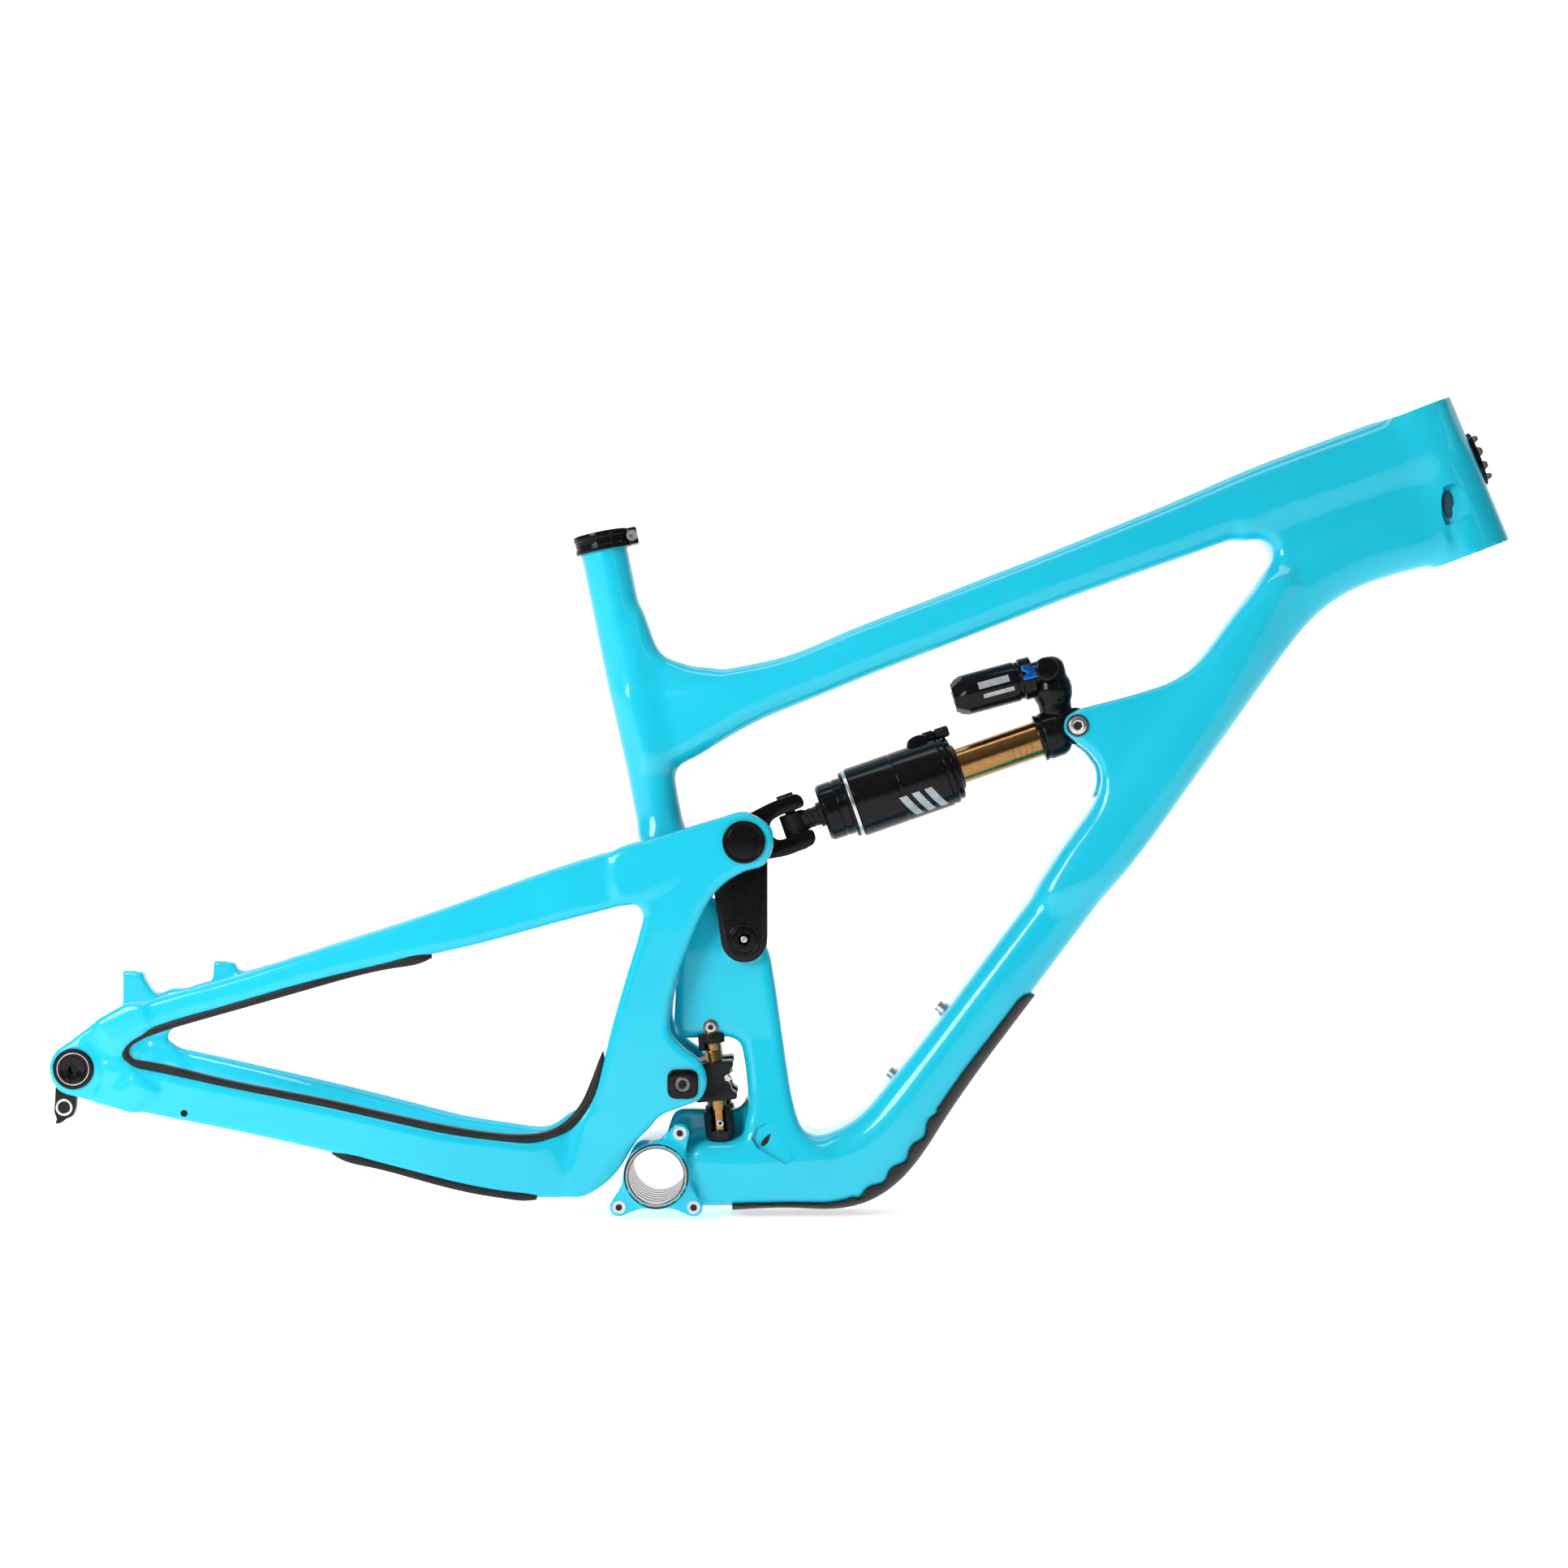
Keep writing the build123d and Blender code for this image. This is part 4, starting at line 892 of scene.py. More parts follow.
def flipped(obj):
    """The same mesh on the other side of the bicycle."""
    for vert in obj.data.vertices:
        vert.co.y = -vert.co.y
    obj.data.flip_normals()
    return obj


HEAD_SCOOP = [
    (592.3, 517, 19), (599, 520, 20), (607, 515, 24), (613, 506, 27), (613, 497, 27), (605, 490.5, 25),
    (594, 488, 19), (590.8, 496, 17.5), (590.8, 508, 17.5)]
LOW_SCOOP = [
    (71, 27, 30), (74.5, 35, 30), (82, 38.5, 31), (89, 35, 33), (96, 26, 35), (103, 12, 37), (97, 7.5, 37),
    (86, 14, 34), (75, 20, 30.5)]


def front_cutters():
    """Everything bored out of the front triangle."""
    throat = [(-20, 0), (-20, 27.2), (LOWER_CUP, 27.2), (LOWER_CUP, 18.5), (UPPER_CUP, 18.5),
              (UPPER_CUP, 22.4), (HEAD_LENGTH + 20, 22.4), (HEAD_LENGTH + 20, 0)]
    above = [(0, 0), (0, 28), (9, 75), (40, 75), (40, 0)]
    cutters = [
        bore((0, 0), SLEEVE_OUTER),
        lathe("cutter", throat, HEAD_FOOT, HEAD_AXIS),
        lathe("cutter", above, flat(HEAD_TOP), HEAD_AXIS),
        drill(HEAD_FOOT, -HEAD_AXIS, 60, 0, 40, 96),
        drill(SEAT_MOUTH, SEAT_AXIS, 15.8, -190, 20, 96)]
    for corners, outer in ((HEAD_SCOOP, 40), (LOW_SCOOP, 50)):
        cutters += [scoop(corners, outer), flipped(scoop(corners, outer))]
    cutters += [bore(place, 5.0, -46, -34) for place in TABS]
    return cutters + [bore(LINK_PIVOT, 6.0), bore(SHOCK_PIVOT, 5.0)]


cut(front, *front_cutters())
finish_mesh(front, PAINT, "front_frame", [
    "bottom_bracket_shell", "bottom_bracket_junction", "down_tube", "top_tube", "head_gusset", "head_tube",
    "seat_tube", "seat_mast", "mast_foot", "shock_mount_ear_right", "shock_mount_ear_left",
    "shock_mount_core", "iscg_plate"], 50)

cut(arm, bore(CABLE_EXIT, 2.6, -90, -72), bore(REAR_AXLE, 6.0, -95, 95), bore(UPPER_PIVOT, 12.0),
    bore(CARRIAGE_PIVOT, 14.0, -46, 46),
    *[drill((x, 76, z), POST_UP, 2.5, -10, 6, 32) for x, z in (POST_LOW, POST_HIGH)])
finish_mesh(arm, PAINT, "swingarm", [
    "upright_right", "upright_left", "seatstay_right", "seatstay_left", "chainstay_right", "chainstay_left",
    "dropout_left", "dropout_right", "swingarm_bridge_upper", "swingarm_bridge_lower", "brake_posts"], 50)


# ---------------------------------------------------------------- rubber guards
STAY_GUARD = [
    (-166, -58.4, 165.4, 1.4, 3.0), (-172, -59.2, 164.2, 3.2, 5.0), (-191, -61, 160.3, 3.5, 5.6),
    (-250, -67, 146, 3.1, 5.4), (-326, -74, 124.5, 3.1, 5.0), (-366, -77.5, 112.6, 3.1, 4.6),
    (-382, -79, 105.6, 3.1, 4.4), (-389, -79, 98, 3.0, 4.4), (-387.5, -79, 91, 3.0, 4.4),
    (-376, -78.3, 86.4, 3.1, 4.6), (-326, -74, 74.6, 3.1, 5.0), (-249, -66.5, 58.2, 3.1, 5.4),
    (-191, -60, 44.4, 3.1, 5.6), (-153, -55.6, 36, 3.1, 5.8), (-115, -51, 30.0, 3.1, 6),
    (-92, -48, 29.2, 3.3, 6.2), (-76, -45.8, 32.6, 3.5, 6.4), (-63, -44, 40.6, 4.0, 6.6),
    (-52.5, -43, 52.6, 4.5, 6.8), (-45.8, -43, 67, 4.5, 6.8), (-42.4, -43, 80, 3.0, 6),
    (-40.6, -43, 88, 1.9, 4.4), (-39.8, -43, 93, 0.5, 2)]
CHAIN_GUARD = [
    (-239, -65.4, 20.8, 1.4, 2.6), (-233, -64.7, 18.8, 3.0, 4.6), (-211, -62.2, 12.8, 3.7, 5.6),
    (-172, -57.8, 1.8, 3.6, 6), (-153, -55.5, -3.6, 3.6, 6.2), (-134, -53.2, -8.2, 3.6, 6.3),
    (-111, -50.5, -12.3, 3.6, 6.4), (-96, -48.8, -13.9, 3.6, 6.4), (-89, -48, -14.2, 2.6, 5.6)]


def down_guard():
    """Moulded shield under the down tube, its upper edge cut into scallops over the bend."""
    thick, wrap = 3.6, 1.4
    grown = [(x, z, depth + thick, width + wrap, roundness)
             for x, z, depth, width, roundness in DOWN_STATIONS[1:9]]
    edge = [(40, -22.4), (60, -22.6), (128, -22.6), (139, -20.5), (148, -17.5)]
    first, last, teeth, points_each = Vector((152, -20)), Vector((213, 47)), 4, 12
    run = last - first
    out = Vector((run.y, -run.x)).normalized()
    for i in range(teeth * points_each):
        share = i / (teeth * points_each)
        sag = 7.5 * math.sin(math.pi * share) ** 0.7
        bite = 5.0 * abs(math.sin(math.pi * teeth * share)) ** 1.6
        edge.append(tuple(first + run * share + out * (sag - 1.0 - bite)))
    edge += [(210, 48), (232, 79), (257, 111), (271, 129), (277, 134), (286, 134), (300, 142)]
    edge += [(330, 190), (200, 260), (20, 100), (20, -60), (40, -60)]
    above = Plate(edge, 80, 0.5, 1.5, smooth=False)
    return skin("down_tube_shield", [Tube(grown, 4)], [above], (40, -44, -42), (302, 44, 150), GUARD_CELL)


finish_mesh(sweep("stay_guard_strip", STAY_GUARD), RUBBER, "swingarm", ["stay_guards"], 40)
finish_mesh(sweep("chainstay_guard_strip", CHAIN_GUARD), RUBBER, "swingarm", ["chainstay_guard"], 40)
finish_mesh(down_guard(), RUBBER, "front_frame", ["down_tube_guard"], 50)


def grommets(name, place, length, width, tilt, low, high):
    """Slim ovals in the deep ends of a pair of cable ports."""
    c, s = math.cos(math.radians(tilt)), math.sin(math.radians(tilt))
    turn = np.linspace(0, 2 * math.pi, 40, endpoint=False)
    oval = [(length * math.cos(t), width * math.sin(t)) for t in turn]
    loop = [(place[0] + a * c - b * s, place[1] + a * s + b * c) for a, b in oval]
    return joined(name, [prism("grommet", loop, -high, -low), flipped(prism("grommet", loop, -high, -low))])


# The head port ovals carry the darker paint: painted shade in the deep ends of the scoops.
finish_mesh(grommets("head_port_painted_shade", (597.0, 504), 10.5, 4.2, 96, 16, 22.5), PORT_SHADE, "front_frame",
            ["cable_ports"])
finish_mesh(grommets("low_port_grommets", (83, 26), 6.5, 2.4, 46, 28, 32.6), RUBBER, "front_frame")
# Dark disc deep in the cable exit bore: painted shade in the hole, not a plug.
finish_mesh(rod("cable_exit_shade", CABLE_EXIT, 2.6, -79, -74, 32), HOLE_SHADE, "swingarm")

# ---------------------------------------------------------------- bottom bracket, head and seat hardware
def bracket_liner():
    """Grooved alloy sleeve through the shell, flanged at both ends."""
    flange, end = SLEEVE_OUTER + 0.6, 46.2
    grooves = []
    for place in (-34, -22, -10, 2, 14, 26):
        grooves += [(place, BRACKET_BORE), (place + 0.5, BRACKET_BORE + 0.35),
                    (place + 3.5, BRACKET_BORE + 0.35), (place + 4, BRACKET_BORE)]
    profile = [(-end, flange), (-end, 21.4), (-45.2, BRACKET_BORE)] + grooves
    profile += [(45.2, BRACKET_BORE), (end, 21.4), (end, flange), (45.9, flange), (45.9, SLEEVE_OUTER),
                (-45.9, SLEEVE_OUTER), (-45.9, flange)]
    return lathe("bracket_liner", profile, (0, 0, 0), (0, 1, 0), 128, closed=True)


finish_mesh(bracket_liner(), ALLOY, "front_frame", ["bottom_bracket_sleeve"], 25)


def bearing_cup(name, start, outer, inner, length):
    """Bearing seat with a lead-in chamfer at both ends."""
    profile = [(start, outer), (start, inner + 0.8), (start + 0.8, inner), (start + length - 0.8, inner),
               (start + length, inner + 0.8), (start + length, outer)]
    return lathe(name, profile, HEAD_FOOT, HEAD_AXIS, 128, closed=True)


finish_mesh(bearing_cup("lower_bearing_cup", 0, 27.2, 26.0, LOWER_CUP), ALLOY, "front_frame",
            ["headset_seat_lower"], 25)
finish_mesh(bearing_cup("upper_bearing_cup", UPPER_CUP, 22.4, 20.9, 9), ALLOY, "front_frame",
            ["headset_seat_upper"], 25)


def badge():
    """Plain oval plate with a column of faceted studs."""
    middle = HEAD_FOOT + HEAD_AXIS * 66
    stand = square_to(middle, Vector((0, 1, 0)), HEAD_FRONT, HEAD_AXIS)
    turn = [2 * math.pi * i / 64 for i in range(64)]
    plate = prism("badge_plate", [(9 * math.cos(t), 21 * math.sin(t)) for t in turn], 20, 29.2, 0.8, stand)
    studs = []
    for step, radius in ((-15, 3.6), (-6, 4.8), (5, 5.2), (15, 3.8)):
        profile = [(26, 0), (26, radius, 4), (31, radius, 4), (34, 0.5 * radius, 4), (34, 0)]
        studs.append(lathe("stud", profile, middle + HEAD_AXIS * step, HEAD_FRONT, 32))
    finish_mesh(plate, GLOSS, "front_frame", ["head_badge"], 30)
    finish_mesh(joined("badge_studs", studs), STEEL, "front_frame", angle=20)


def seat_collar():
    """Split ring with its clamp block, slit and counterbored screw hole."""
    collar = lathe("seat_collar", eased([
        (-10, 17.9), (-10, 21.4), (-6.4, 21.4), (-5.8, 20.7), (-0.6, 20.7), (0, 21.4), (4, 21.4),
        (4, 16.1), (0.2, 16.1), (0.2, 17.9)], 0.7, True), SEAT_MOUTH, SEAT_AXIS, 128, closed=True)
    block_at = square_to(SEAT_MOUTH + SEAT_FRONT * 22, Vector((0, 1, 0)), SEAT_AXIS, SEAT_FRONT)
    block = rounded([(-8.5, -3.5), (8.5, -3.5), (8.5, 5.5), (-8.5, 5.5)], 3)
    fuse(collar, prism("block", block, -9.5, 3.5, 1.2, block_at))
    screw = SEAT_MOUTH + SEAT_AXIS * -3 + SEAT_FRONT * 23.5
    cut(collar, prism("slit", [(-1.2, -6), (1.2, -6), (1.2, 9), (-1.2, 9)], -12, 6, 0, block_at),
        drill(screw, (0, 1, 0), 2.5, -14, 14, 32), drill(screw, (0, 1, 0), 4.4, 8.4, 16))
    finish_mesh(collar, GLOSS, "front_frame", ["seat_clamp"], 30)


badge()
seat_collar()


# ---------------------------------------------------------------- rails and carriage
def rail(side):
    """Polished guide with a fine groove near its top."""
    return lathe("rail", eased([
        (-10, 0), (-10, RAIL_RADIUS), (57, RAIL_RADIUS), (57.4, 5.9), (58, 5.9), (58.4, RAIL_RADIUS),
        (78, RAIL_RADIUS), (78, 0)], 0.3), on_rail(0, side * RAIL_HALF), RAIL_LINE, 64)


def rail_sockets(side):
    """Windowed foot, top collar and strap of one rail."""
    base = on_rail(0, side * RAIL_HALF)
    foot = lathe("socket", eased([
        (-12, 0), (-12, 5), (-10, 9.5), (-5, 11.2), (12, 11.2), (12, 9.4), (15, 9.4), (15, 6.3), (8, 6.3),
        (8, 0)], 0.6), base, RAIL_LINE, 64)
    window = rail_loop(-3, ((-6.4, 0), (6.4, 0), (5.4, 24), (-8.4, 24)))
    cut(foot, prism("window", window, *span(side, 26, 60), 0))
    collar = lathe("collar", eased([(63, 6.3), (63, 9.4), (64, 10), (70.5, 10), (70.5, 6.3)], 0.5, True),
                   base, RAIL_LINE, 64, closed=True)
    strap = rail_loop(57.5, ((-10, 0), (-5.5, 0), (-6.5, 12), (-11, 12)))
    return [foot, collar, prism("strap", strap, *span(side, 14, 31))]


def carriage_end(side):
    """One flanged end of the carriage, round its rail."""
    across = [(-15.5, 20), (15, 20), (15.5, 24), (12, 26), (11, 32), (9.2, 33), (9.2, 37), (11, 38),
              (12, 43), (14.5, 44.5), (14.5, 49), (-15.5, 49), (-15.5, 45), (-12, 43), (-12, 27), (-15.5, 25)]
    tilt = 0.096
    loop = [(on_rail(up).x + dx, on_rail(up).z + tilt * dx) for dx, up in across]
    return prism("end", rounded(loop, 1.6, 3), *span(side, 11, 33.5), 1.2)


def carriage():
    """Both ends and the axle block between them, bored for the axle and the rails."""
    block = hull(disc(CARRIAGE_PIVOT, 13), [(40, 57.5), (52, 57), (50, 83), (39, 84)])
    slider = fuse(carriage_end(-1), carriage_end(1), prism("body", block, -20, 20, 1.6))
    return cut(slider, bore(CARRIAGE_PIVOT, 7.5, -60, 60),
               *[drill(on_rail(0, side * RAIL_HALF), RAIL_LINE, 6.3, 10, 60, 64) for side in SIDES])


finish_mesh(joined("guide_rails", [rail(side) for side in SIDES]), GOLD, "front_frame", ["rails"], 30)
bridge = prism("bridge", rounded(rail_loop(-8, ((-9, 0), (9, 0), (8, 15), (-10, 15))), 4), -15, 15, 1)
finish_mesh(joined("rail_sockets", rail_sockets(-1) + rail_sockets(1) + [bridge]), BLACK, "front_frame",
            ["rail_mounts"], 30)
slider = carriage()
finish_mesh(slider, BLACK, "carriage", ["carriage"], 30)
NIPPLE = [(30, 0), (30, 2.8, 6), (34.6, 2.8, 6), (34.6, 1.8), (35.4, 2.0), (35.9, 1.2), (35.9, 0)]
finish_mesh(joined("grease_nipples", [turned("nipple", (53.4, 72.5), NIPPLE, 36, side) for side in SIDES]),
            STEEL, "carriage", ["grease_ports"], 30)

# ---------------------------------------------------------------- link and pivots
LINK_LOOP = hull(disc(LINK_PIVOT, 17.4), disc((61, 216), 18.5), disc(UPPER_PIVOT, 17.4))
for side, node in ((-1, "link_plate_left"), (1, "link_plate_right")):
    plate = prism("link", LINK_LOOP, *span(side, 28.0, 35.5), 1.6)
    finish_mesh(cut(plate, bore(LINK_PIVOT, 12.4), bore(UPPER_PIVOT, 6.0)), GLOSS, "link", [node], 30)

LINK_CAP = eased([
    (31, 0), (31, 8), (33.2, 8), (33.2, 12.1), (35.4, 12.1), (35.7, 10.9), (35.2, 10.5), (35.2, 9.7),
    (35.8, 9.3), (35.8, 5.2)], 0.25) + hexagon(34.4, 33.0, 4.6)
UPPER_CAP = eased([
    (49.6, 0), (49.6, 16), (52.4, 16), (53, 15.2), (53, 13.6), (52.5, 13.3), (52.5, 12.7), (53, 12.4),
    (53, 0)], 0.3)
LOWER_SCREW = eased([(50.8, 0), (50.8, 5.6), (52.0, 5.6), (52.2, 4.4)], 0.3) + hexagon(51.9, 51.1, 3.4)


def lower_cap(side):
    """Square cap of the lower pivot, counterbored for its screw."""
    x, z = CARRIAGE_PIVOT
    corners = [(x + dx, z + dz) for dx, dz in ((-11.5, -11), (11.5, -11), (11.5, 11), (-11.5, 11))]
    cap = prism("cap", rounded(corners, 7), *span(side, 49.6, 52.5), 1.1)
    return cut(cap, bore(CARRIAGE_PIVOT, 6.6, *span(side, 51.2, 60)))


link_axle = [rod("axle", LINK_PIVOT, 6.0, -33, 33)]
link_axle += [turned("cap", LINK_PIVOT, LINK_CAP, 96, side) for side in SIDES]
finish_mesh(joined("link_axle_caps", link_axle), GLOSS, "front_frame", ["link_axle"], 30)
finish_mesh(hex_bolt("link_centre_bolt", LINK_PIVOT, 2.6, 33.0, 1.6, 1.2), STEEL, "front_frame")
finish_mesh(joined("upper_axle_caps", [turned("cap", UPPER_PIVOT, UPPER_CAP, 128, side) for side in SIDES]),
            GLOSS, "swingarm", ["upper_pivot_caps"], 30)
finish_mesh(joined("lower_axle_caps", [lower_cap(side) for side in SIDES]), GLOSS, "swingarm",
            ["lower_pivot_caps"], 30)
finish_mesh(joined("lower_axle_screws", [
    turned("screw", CARRIAGE_PIVOT, LOWER_SCREW, 72, side) for side in SIDES]), DULL, "swingarm", angle=30)

# ---------------------------------------------------------------- rear axle and hanger
AXLE_HEAD = eased([
    (84.2, 15), (86.2, 15), (87, 14.2), (87, 12.2), (86.5, 11.9), (86.5, 11.3), (87, 11.0), (87, 9.6),
    (85.8, 8.4), (85.8, 5.6)], 0.25)
AXLE_SHANK = [(-85, 0), (-85, 5.6), (-84.5, 6), (82, 6), (82, 14.2), (84.2, 15)]
finish_mesh(turned("through_axle", REAR_AXLE, AXLE_SHANK + AXLE_HEAD + hexagon(85.4, 81.5, 4.0), 128),
            GLOSS, "swingarm", ["rear_axle"], 30)
finish_mesh(turned("axle_ring", REAR_AXLE, band(86.4, 86.9, 11.3, 11.9, 0.1), 128, closed=True),
            STEEL, "swingarm")

HANGER = outline([
    (-438, 86), (-431, 79), (-420, 78), (-420, 70), (-424.5, 64), (-425.5, 55), (-428, 49), (-433, 46.4),
    (-436.5, 43.8), (-440, 43.4), (-439.4, 46.8), (-441, 52), (-440.6, 60), (-440, 72)], 1.2)
hanger = prism("hanger_plate", HANGER, -82, -74, 1.2)
finish_mesh(cut(hanger, bore(HANGER_HOLE, 5.2), bore(REAR_AXLE, 6.1)), BLACK, "swingarm",
            ["derailleur_hanger"], 30)
HANGER_BUSH = eased([(74.2, 4.5), (82.6, 4.5), (82.6, 6.2), (81.8, 6.2), (81.8, 5.2), (74.2, 5.2)], 0.2, True)
finish_mesh(turned("hanger_bush", HANGER_HOLE, HANGER_BUSH, 72, closed=True), STEEL, "swingarm", angle=30)

# ---------------------------------------------------------------- shock: head, shaft and reservoir
TOWER_FOOT = (303, 346)
TOWER_TOP = (296, 388)
LEVER_SCREW = (296, 381)
RESERVOIR_FRONT = Vector((288, 0, 375.5))
RESERVOIR_BACK = Vector((-0.966, 0, -0.259)).normalized()
SHAFT = 13.8
TANK = 15.5
CAN = 27.0


def shock_part(name, profile, segments=96, closed=False):
    """Turned piece on the shock's axis, measured back from the front bolt."""
    return lathe(name, profile, SHOCK_ORIGIN, SHOCK_BACK, segments, closed)


def reservoir_part(name, profile, segments=96):
    """Turned piece on the reservoir's axis."""
    return lathe(name, profile, RESERVOIR_FRONT, RESERVOIR_BACK, segments)


def shock_head():
    """Forged head with its eyelet, tower, neck and lever boss."""
    head = shock_part("shock_head_block", eased([
        (5, 0), (5, 11), (9, 16.4), (13, 18.3), (23.5, 18.3), (24.3, 17.5), (25.6, 17.5), (26.4, 18.1),
        (28.6, 18.1), (29.2, 15.6), (29.2, 0)], 0.8))
    tower = eased([
        (-8, 0), (-8, 10), (2, 12.4), (9, 12.6), (13, 14.6), (19, 15.4), (25, 14.6), (29, 12.6), (34, 12.4),
        (39, 11.6), (42.5, 9), (44.6, 5), (45, 0)], 1.5)
    fuse(head, rod("eyelet", SHOCK_PIVOT, 14, -13.5, 13.5, 96, 1.5),
         lathe("tower", tower, flat(TOWER_FOOT), flat(TOWER_TOP) - flat(TOWER_FOOT)),
         reservoir_part("neck", bar(-8, 5, 11), 72),
         turned("boss", LEVER_SCREW, eased(bar(10, 15.8, 5.2), 0.5), 48))
    seats = [bore(SHOCK_PIVOT, 8.4, *span(side, 12.8, 20)) for side in SIDES]
    return cut(head, bore(SHOCK_PIVOT, 5.4), *seats)


def stanchion():
    """Polished shaft with four fine travel marks."""
    profile = [(28, 0), (28, SHAFT)]
    for place in (36, 41, 46, 51):
        profile += [(place, SHAFT), (place + 0.15, SHAFT - 0.18), (place + 0.6, SHAFT - 0.18),
                    (place + 0.75, SHAFT)]
    return shock_part("stanchion", profile + [(158, SHAFT), (160, 12.6), (160, 0)], 128)


def patch(origin, axis, radius, along, angles, slant=0.0, rows=10):
    """Thin curved stripe on a cylinder, between two distances along it and two angles from the near side."""
    bm = bmesh.new()
    near = Vector(NEAR)
    rise = axis.cross(near)
    rings = []
    for i in range(rows + 1):
        share = i / rows
        turn = math.radians(angles[0] + (angles[1] - angles[0]) * share)
        spoke = near * math.cos(turn) + rise * math.sin(turn)
        corners = ((along[0], -0.3), (along[1], -0.3), (along[1], 0.12), (along[0], 0.12))
        rings.append([bm.verts.new(origin + axis * (a + slant * share) + spoke * (radius + lift))
                      for a, lift in corners])
    for low, high in zip(rings, rings[1:]):
        for i in range(4):
            j = (i + 1) % 4
            bm.faces.new((low[i], low[j], high[j], high[i]))
    bm.faces.new(rings[0])
    bm.faces.new(rings[-1])
    return from_bmesh("stripe", bm)


finish_mesh(shock_head(), GLOSS, "shock_body", ["shock_head"], 35)
finish_mesh(stanchion(), GOLD, "shock_body", ["shock_shaft"], 20)
TANK_FRONT = eased([
    (2, 0), (2, 12.5), (3, 16.2), (12, 16.2), (13, 14.6), (15.5, 14.6), (16.5, TANK), (56, TANK)], 0.5)
TANK_BACK = [(58, 15.2, 8), (62, 13.6, 8), (66, 10.5, 8), (66, 6), (65, 5.4), (65, 0)]
finish_mesh(reservoir_part("reservoir_tank", TANK_FRONT + TANK_BACK), GLOSS, "shock_body", ["reservoir"], 25)
stripes = [patch(RESERVOIR_FRONT, RESERVOIR_BACK, TANK, *place)
           for place in (((22, 46), (4, 24)), ((20, 44), (-24, -12)))]
finish_mesh(joined("reservoir_stripes", stripes), GREY, "shock_body")
TANK_SCREW = [(64.5, 0), (64.5, 3.2), (66.2, 3.2), (66.6, 2.4), (66.6, 0)]
finish_mesh(reservoir_part("reservoir_screw", TANK_SCREW, 48), STEEL, "shock_body")

PADDLE = rounded([
    (300, 384.5), (288, 384), (283, 381.5), (275, 382.6), (274.4, 379), (280, 376.5), (275.6, 374.6),
    (276.4, 371.4), (285, 373.4), (300, 377.5)], 1.5, 3)
lever = prism("climb_paddle", PADDLE, -18.5, -15.9, 0.7)
finish_mesh(cut(lever, bore(LEVER_SCREW, 2.4, -30, -10)), BLUE, "lever", ["climb_lever"], 30)
LEVER_CAP = eased([(18.4, 0), (18.4, 9), (19.6, 9), (20.6, 7.4), (20.8, 2.4), (20.8, 0)], 0.6)
finish_mesh(turned("lever_cap", (294, 380), LEVER_CAP, 64), GLOSS, "lever")
finish_mesh(hex_bolt("lever_screw", LEVER_SCREW, 2.3, 12, 6.2, 1.2), DULL, "shock_body")

# ---------------------------------------------------------------- shock: air can, eye and yoke
CAN_PROFILE = [(199, 0), (199, 20), (103, 20), (103, 14.0), (95, 14.0)] + eased([
    (95, 14.0), (95, 22.8), (96.2, 24.4), (98.4, 24.6), (98.8, 23.9), (99.4, 23.9), (99.8, 25.6), (101, 26.4),
    (104, 26.4), (104.4, 25.8), (105, 25.8), (105.4, CAN), (141, CAN), (141.4, 26.7), (142.4, 26.7),
    (142.8, CAN), (176.6, CAN), (177.4, 25.6), (182.6, 25.6), (183.4, 22.4), (189, 22.2), (189.4, 21.7),
    (190.2, 21.7), (190.6, 22.2), (200.5, 22), (203, 20), (203, 0)], 0.3)
WIPER = eased([(92.6, 14.0), (92.6, 16.4), (94, 17.6), (95.2, 17.6), (95.2, 14.0)], 0.3, True)
finish_mesh(shock_part("air_can_body", CAN_PROFILE, 160), GLOSS, "shock_can", ["air_can"], 25)
finish_mesh(shock_part("can_ring", band(177.6, 180.2, 25.4, 27.3, 0.3), 128, closed=True), STEEL, "shock_can")
stripes = [patch(SHOCK_ORIGIN, SHOCK_BACK, CAN, (start, start + 6), (-62, -16), 9)
           for start in (110, 120, 130)]
finish_mesh(joined("can_stripes", stripes), GREY, "shock_can")
finish_mesh(shock_part("wiper", WIPER, closed=True), RUBBER, "shock_can")


def shock_loop(points):
    """Side outline from (along, up) on the shock."""
    return [(on_shock(a, b).x, on_shock(a, b).z) for a, b in points]


VALVE = on_shock(112, 28.6)
boss = rounded([(108, 22), (108, 31), (117, 33.5), (125, 31), (127, 22)], 4)
valve = prism("valve_boss", shock_loop(boss), -7, 7, 2)
stem = eased([(0, 0), (0, 4.6), (8, 4.6), (8.6, 3.4), (12, 3.4), (12, 0)], 0.3)
finish_mesh(fuse(valve, lathe("stem", stem, VALVE, -SHOCK_BACK, 48)), GLOSS, "shock_can", angle=30)
KNURL = [(10, 0), (10, 4.4, 18), (19, 4.4, 18), (20.4, 3.4, 18), (20.4, 0)]
finish_mesh(lathe("valve_cap", KNURL, VALVE, -SHOCK_BACK, 72), BLACK, "shock_can", angle=12)

EYE = on_shock(226.0)
YOKE_BORE = 4.0


def rear_eye():
    """Threaded neck and cross barrel behind the can."""
    neck = [(201, 9.5), (206, 9.5), (206.6, 7.6)]
    for groove in (209, 213):
        neck += [(groove, 7.6), (groove + 0.3, 7.2), (groove + 1.3, 7.2), (groove + 1.6, 7.6)]
    neck = eased(neck + [(219, 7.6), (219, 0)], 0.15)
    eye = shock_part("rear_eye", [(201, 0), (201, 9.5)] + neck, 72)
    fuse(eye, lathe("barrel", eased(bar(-8.6, 8.6, 9.4), 1.0), EYE, SHOCK_UP, 72))
    return cut(eye, drill(EYE, SHOCK_UP, YOKE_BORE, -12, 12))


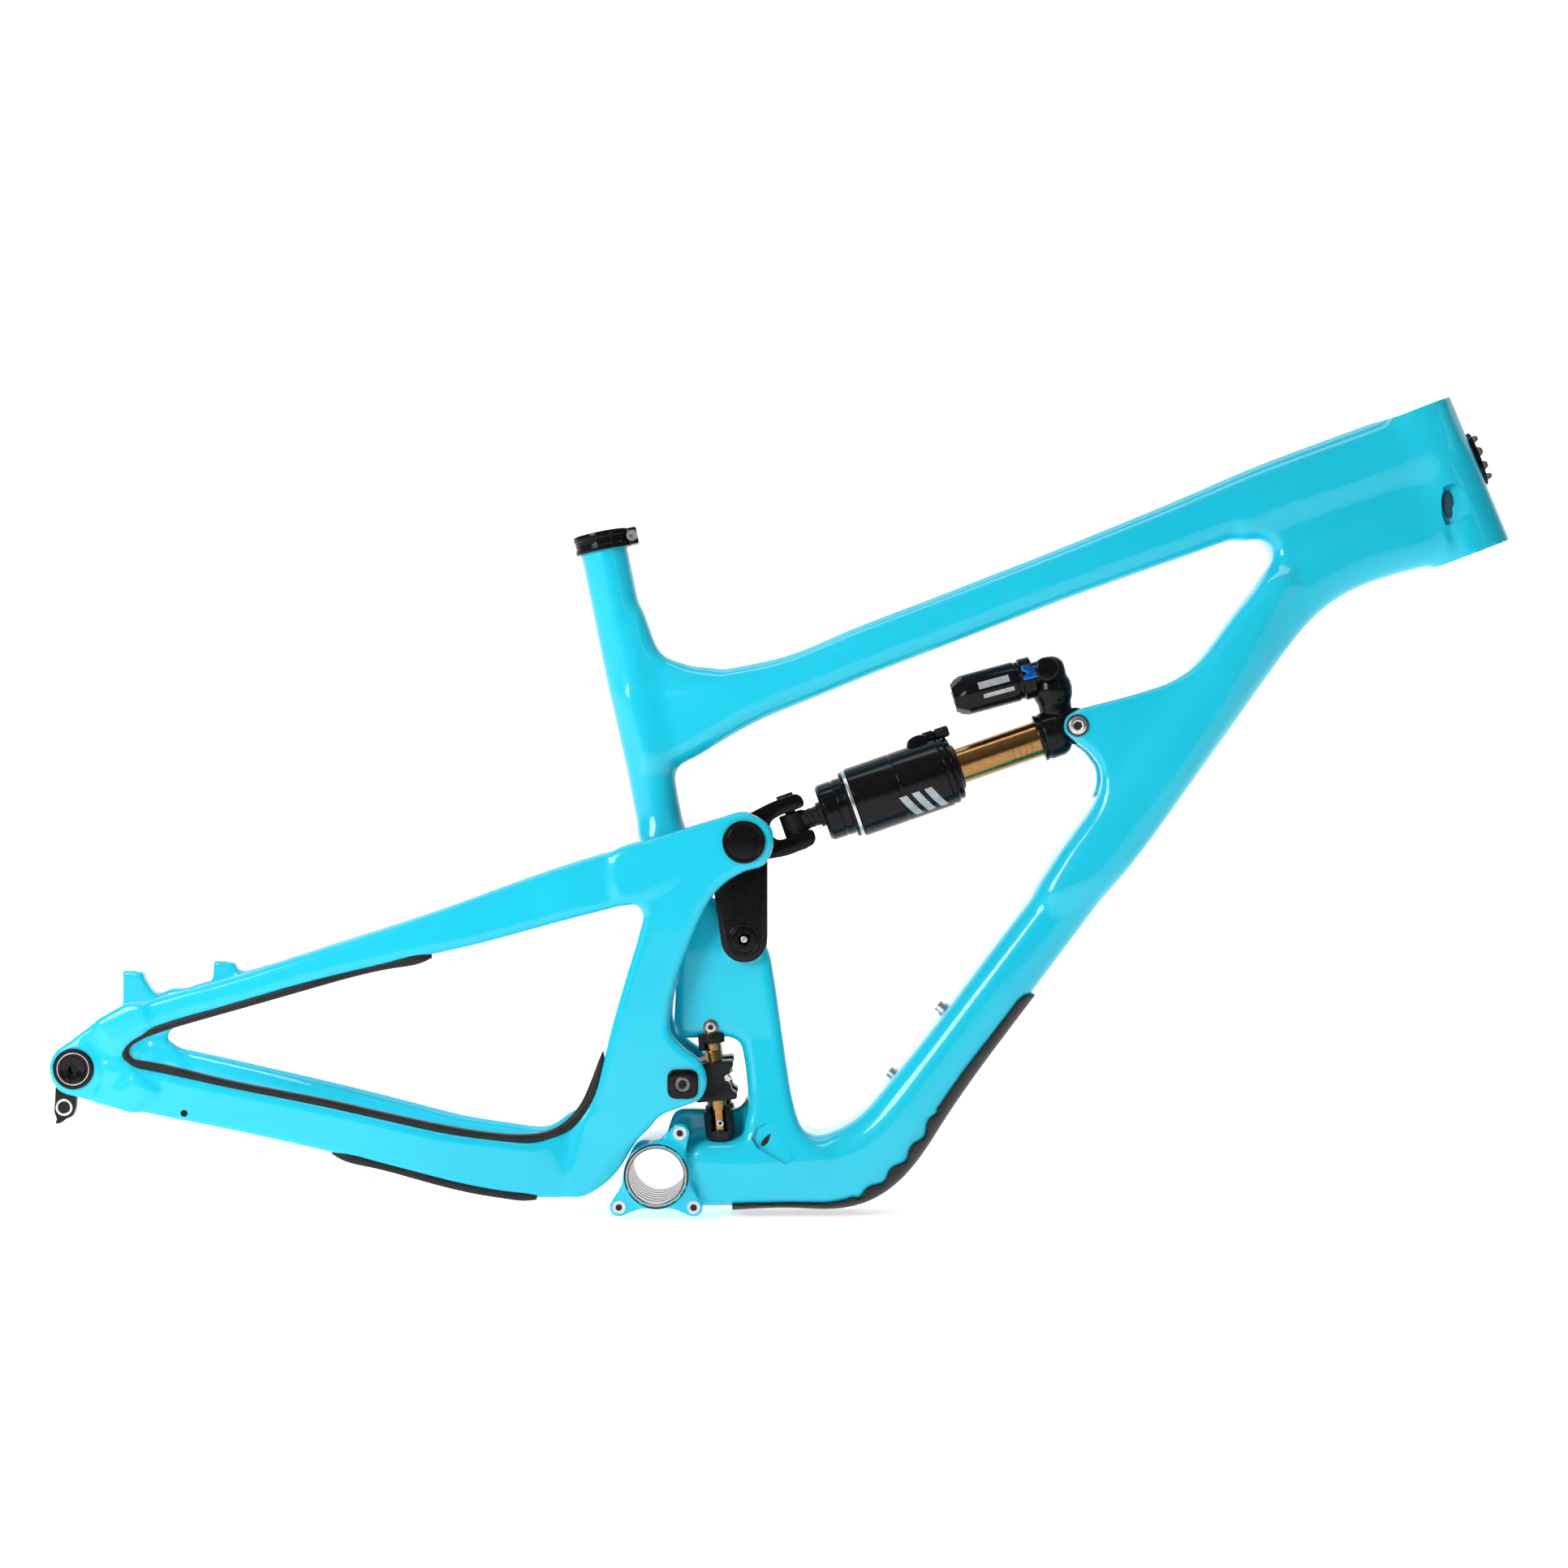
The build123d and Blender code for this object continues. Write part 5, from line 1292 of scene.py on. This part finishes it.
def yoke():
    """Fork that clasps the eye, with a hub round the upper axle."""
    fork = outline([
        (214.5, 11), (214, 17), (217, 20.8), (226, 21.4), (238, 21), (250, 19.4), (262, 17.2), (274, 14.4),
        (281, 7.5), (282.4, 0), (281, -7.5), (274, -14.4), (262, -17.2), (250, -19.4), (238, -21),
        (226, -20.4), (217, -19.2), (214, -15), (214.5, -9), (222, -7.6), (234, -8.4), (242, -7), (245, 0),
        (242, 7), (234, 9.4), (222, 9.6)], 1.5)
    body = prism("yoke_fork", shock_loop(fork), -13, 13, 1.3)
    fuse(body, rod("hub", UPPER_PIVOT, 16.4, -26.5, 26.5, 96, 1.5))
    return cut(body, bore(UPPER_PIVOT, 10.6), drill(EYE, SHOCK_UP, YOKE_BORE, -30, 30))


finish_mesh(rear_eye(), BLACK, "shock_can", ["shock_eye"], 25)
finish_mesh(yoke(), GLOSS, "shock_can", ["shock_yoke"], 30)
YOKE_PIN = eased([(-21, 0), (-21, 4.0), (20.6, 4.0), (20.6, 6.6), (23.6, 6.6), (23.6, 3.1)], 0.4)
finish_mesh(lathe("yoke_pin", YOKE_PIN + hexagon(23.2, 21.2, 2.7), EYE, SHOCK_UP, 72), BLACK, "shock_can",
            ["yoke_bolt"], 30)
MOUNT_PIN = eased([
    (-29.5, 0), (-29.5, 8), (-26.4, 8), (-26.4, 5), (26.4, 5), (26.4, 6.6), (29.8, 6.6), (30.2, 4.0)], 0.4)
finish_mesh(turned("shock_mount_pin", SHOCK_PIVOT, MOUNT_PIN + hexagon(29.8, 27.6, 3.5)), STEEL,
            "front_frame", ["shock_bolt"], 30)
finish_mesh(turned("shock_mount_washer", SHOCK_PIVOT, band(26.3, 27.2, 6.5, 8.6, 0.2), closed=True), DULL,
            "front_frame", angle=30)

# ---------------------------------------------------------------- clamp screws, and dark discs that paint the shade in the socket floors
finish_mesh(turned("rail_screw_seat", RAIL_SCREW, eased(bar(26.6, 28.1, 6), 0.3), 64), DULL, "front_frame",
            angle=30)
finish_mesh(hex_bolt("rail_screw", RAIL_SCREW, 3.9, 28.0, 1.8, 2.0), STEEL, "front_frame")
finish_mesh(hex_bolt("socket_screw", SOCKET_SCREW, 2.6, 26.5, 4.5, 1.3), STEEL, "front_frame")
# Dark discs in the bottoms of the screw sockets and the tab bores: painted shade, not parts of the frame.
shade_discs = [rod("socket", SHOCK_PIVOT, 3.4, -29.0, -27.4, 32), rod("socket", RAIL_SCREW, 1.9, -29.2, -28.4, 24),
          rod("socket", SOCKET_SCREW, 1.25, -29.6, -28.0, 24)]
shade_discs += [rod("socket", place, 2.7, -43.4, -39, 32) for place in TABS]
finish_mesh(joined("socket_painted_shade", shade_discs), HOLE_SHADE, "front_frame")
finish_mesh(turned("shell_seal", (0, 0), band(45.6, 46.3, 22.9, 24.2, 0.15), 128, closed=True), RUBBER,
            "front_frame")

# ---------------------------------------------------------------- materials on the CAD nodes that stay
for name in ("iscg_inserts", "seat_clamp_bolt", "bottle_bolts", "link_bearings", "arm_bearings",
             "carriage_axle", "upper_axle"):
    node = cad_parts[name]
    node.data.materials.clear()
    node.data.materials.append(STEEL)
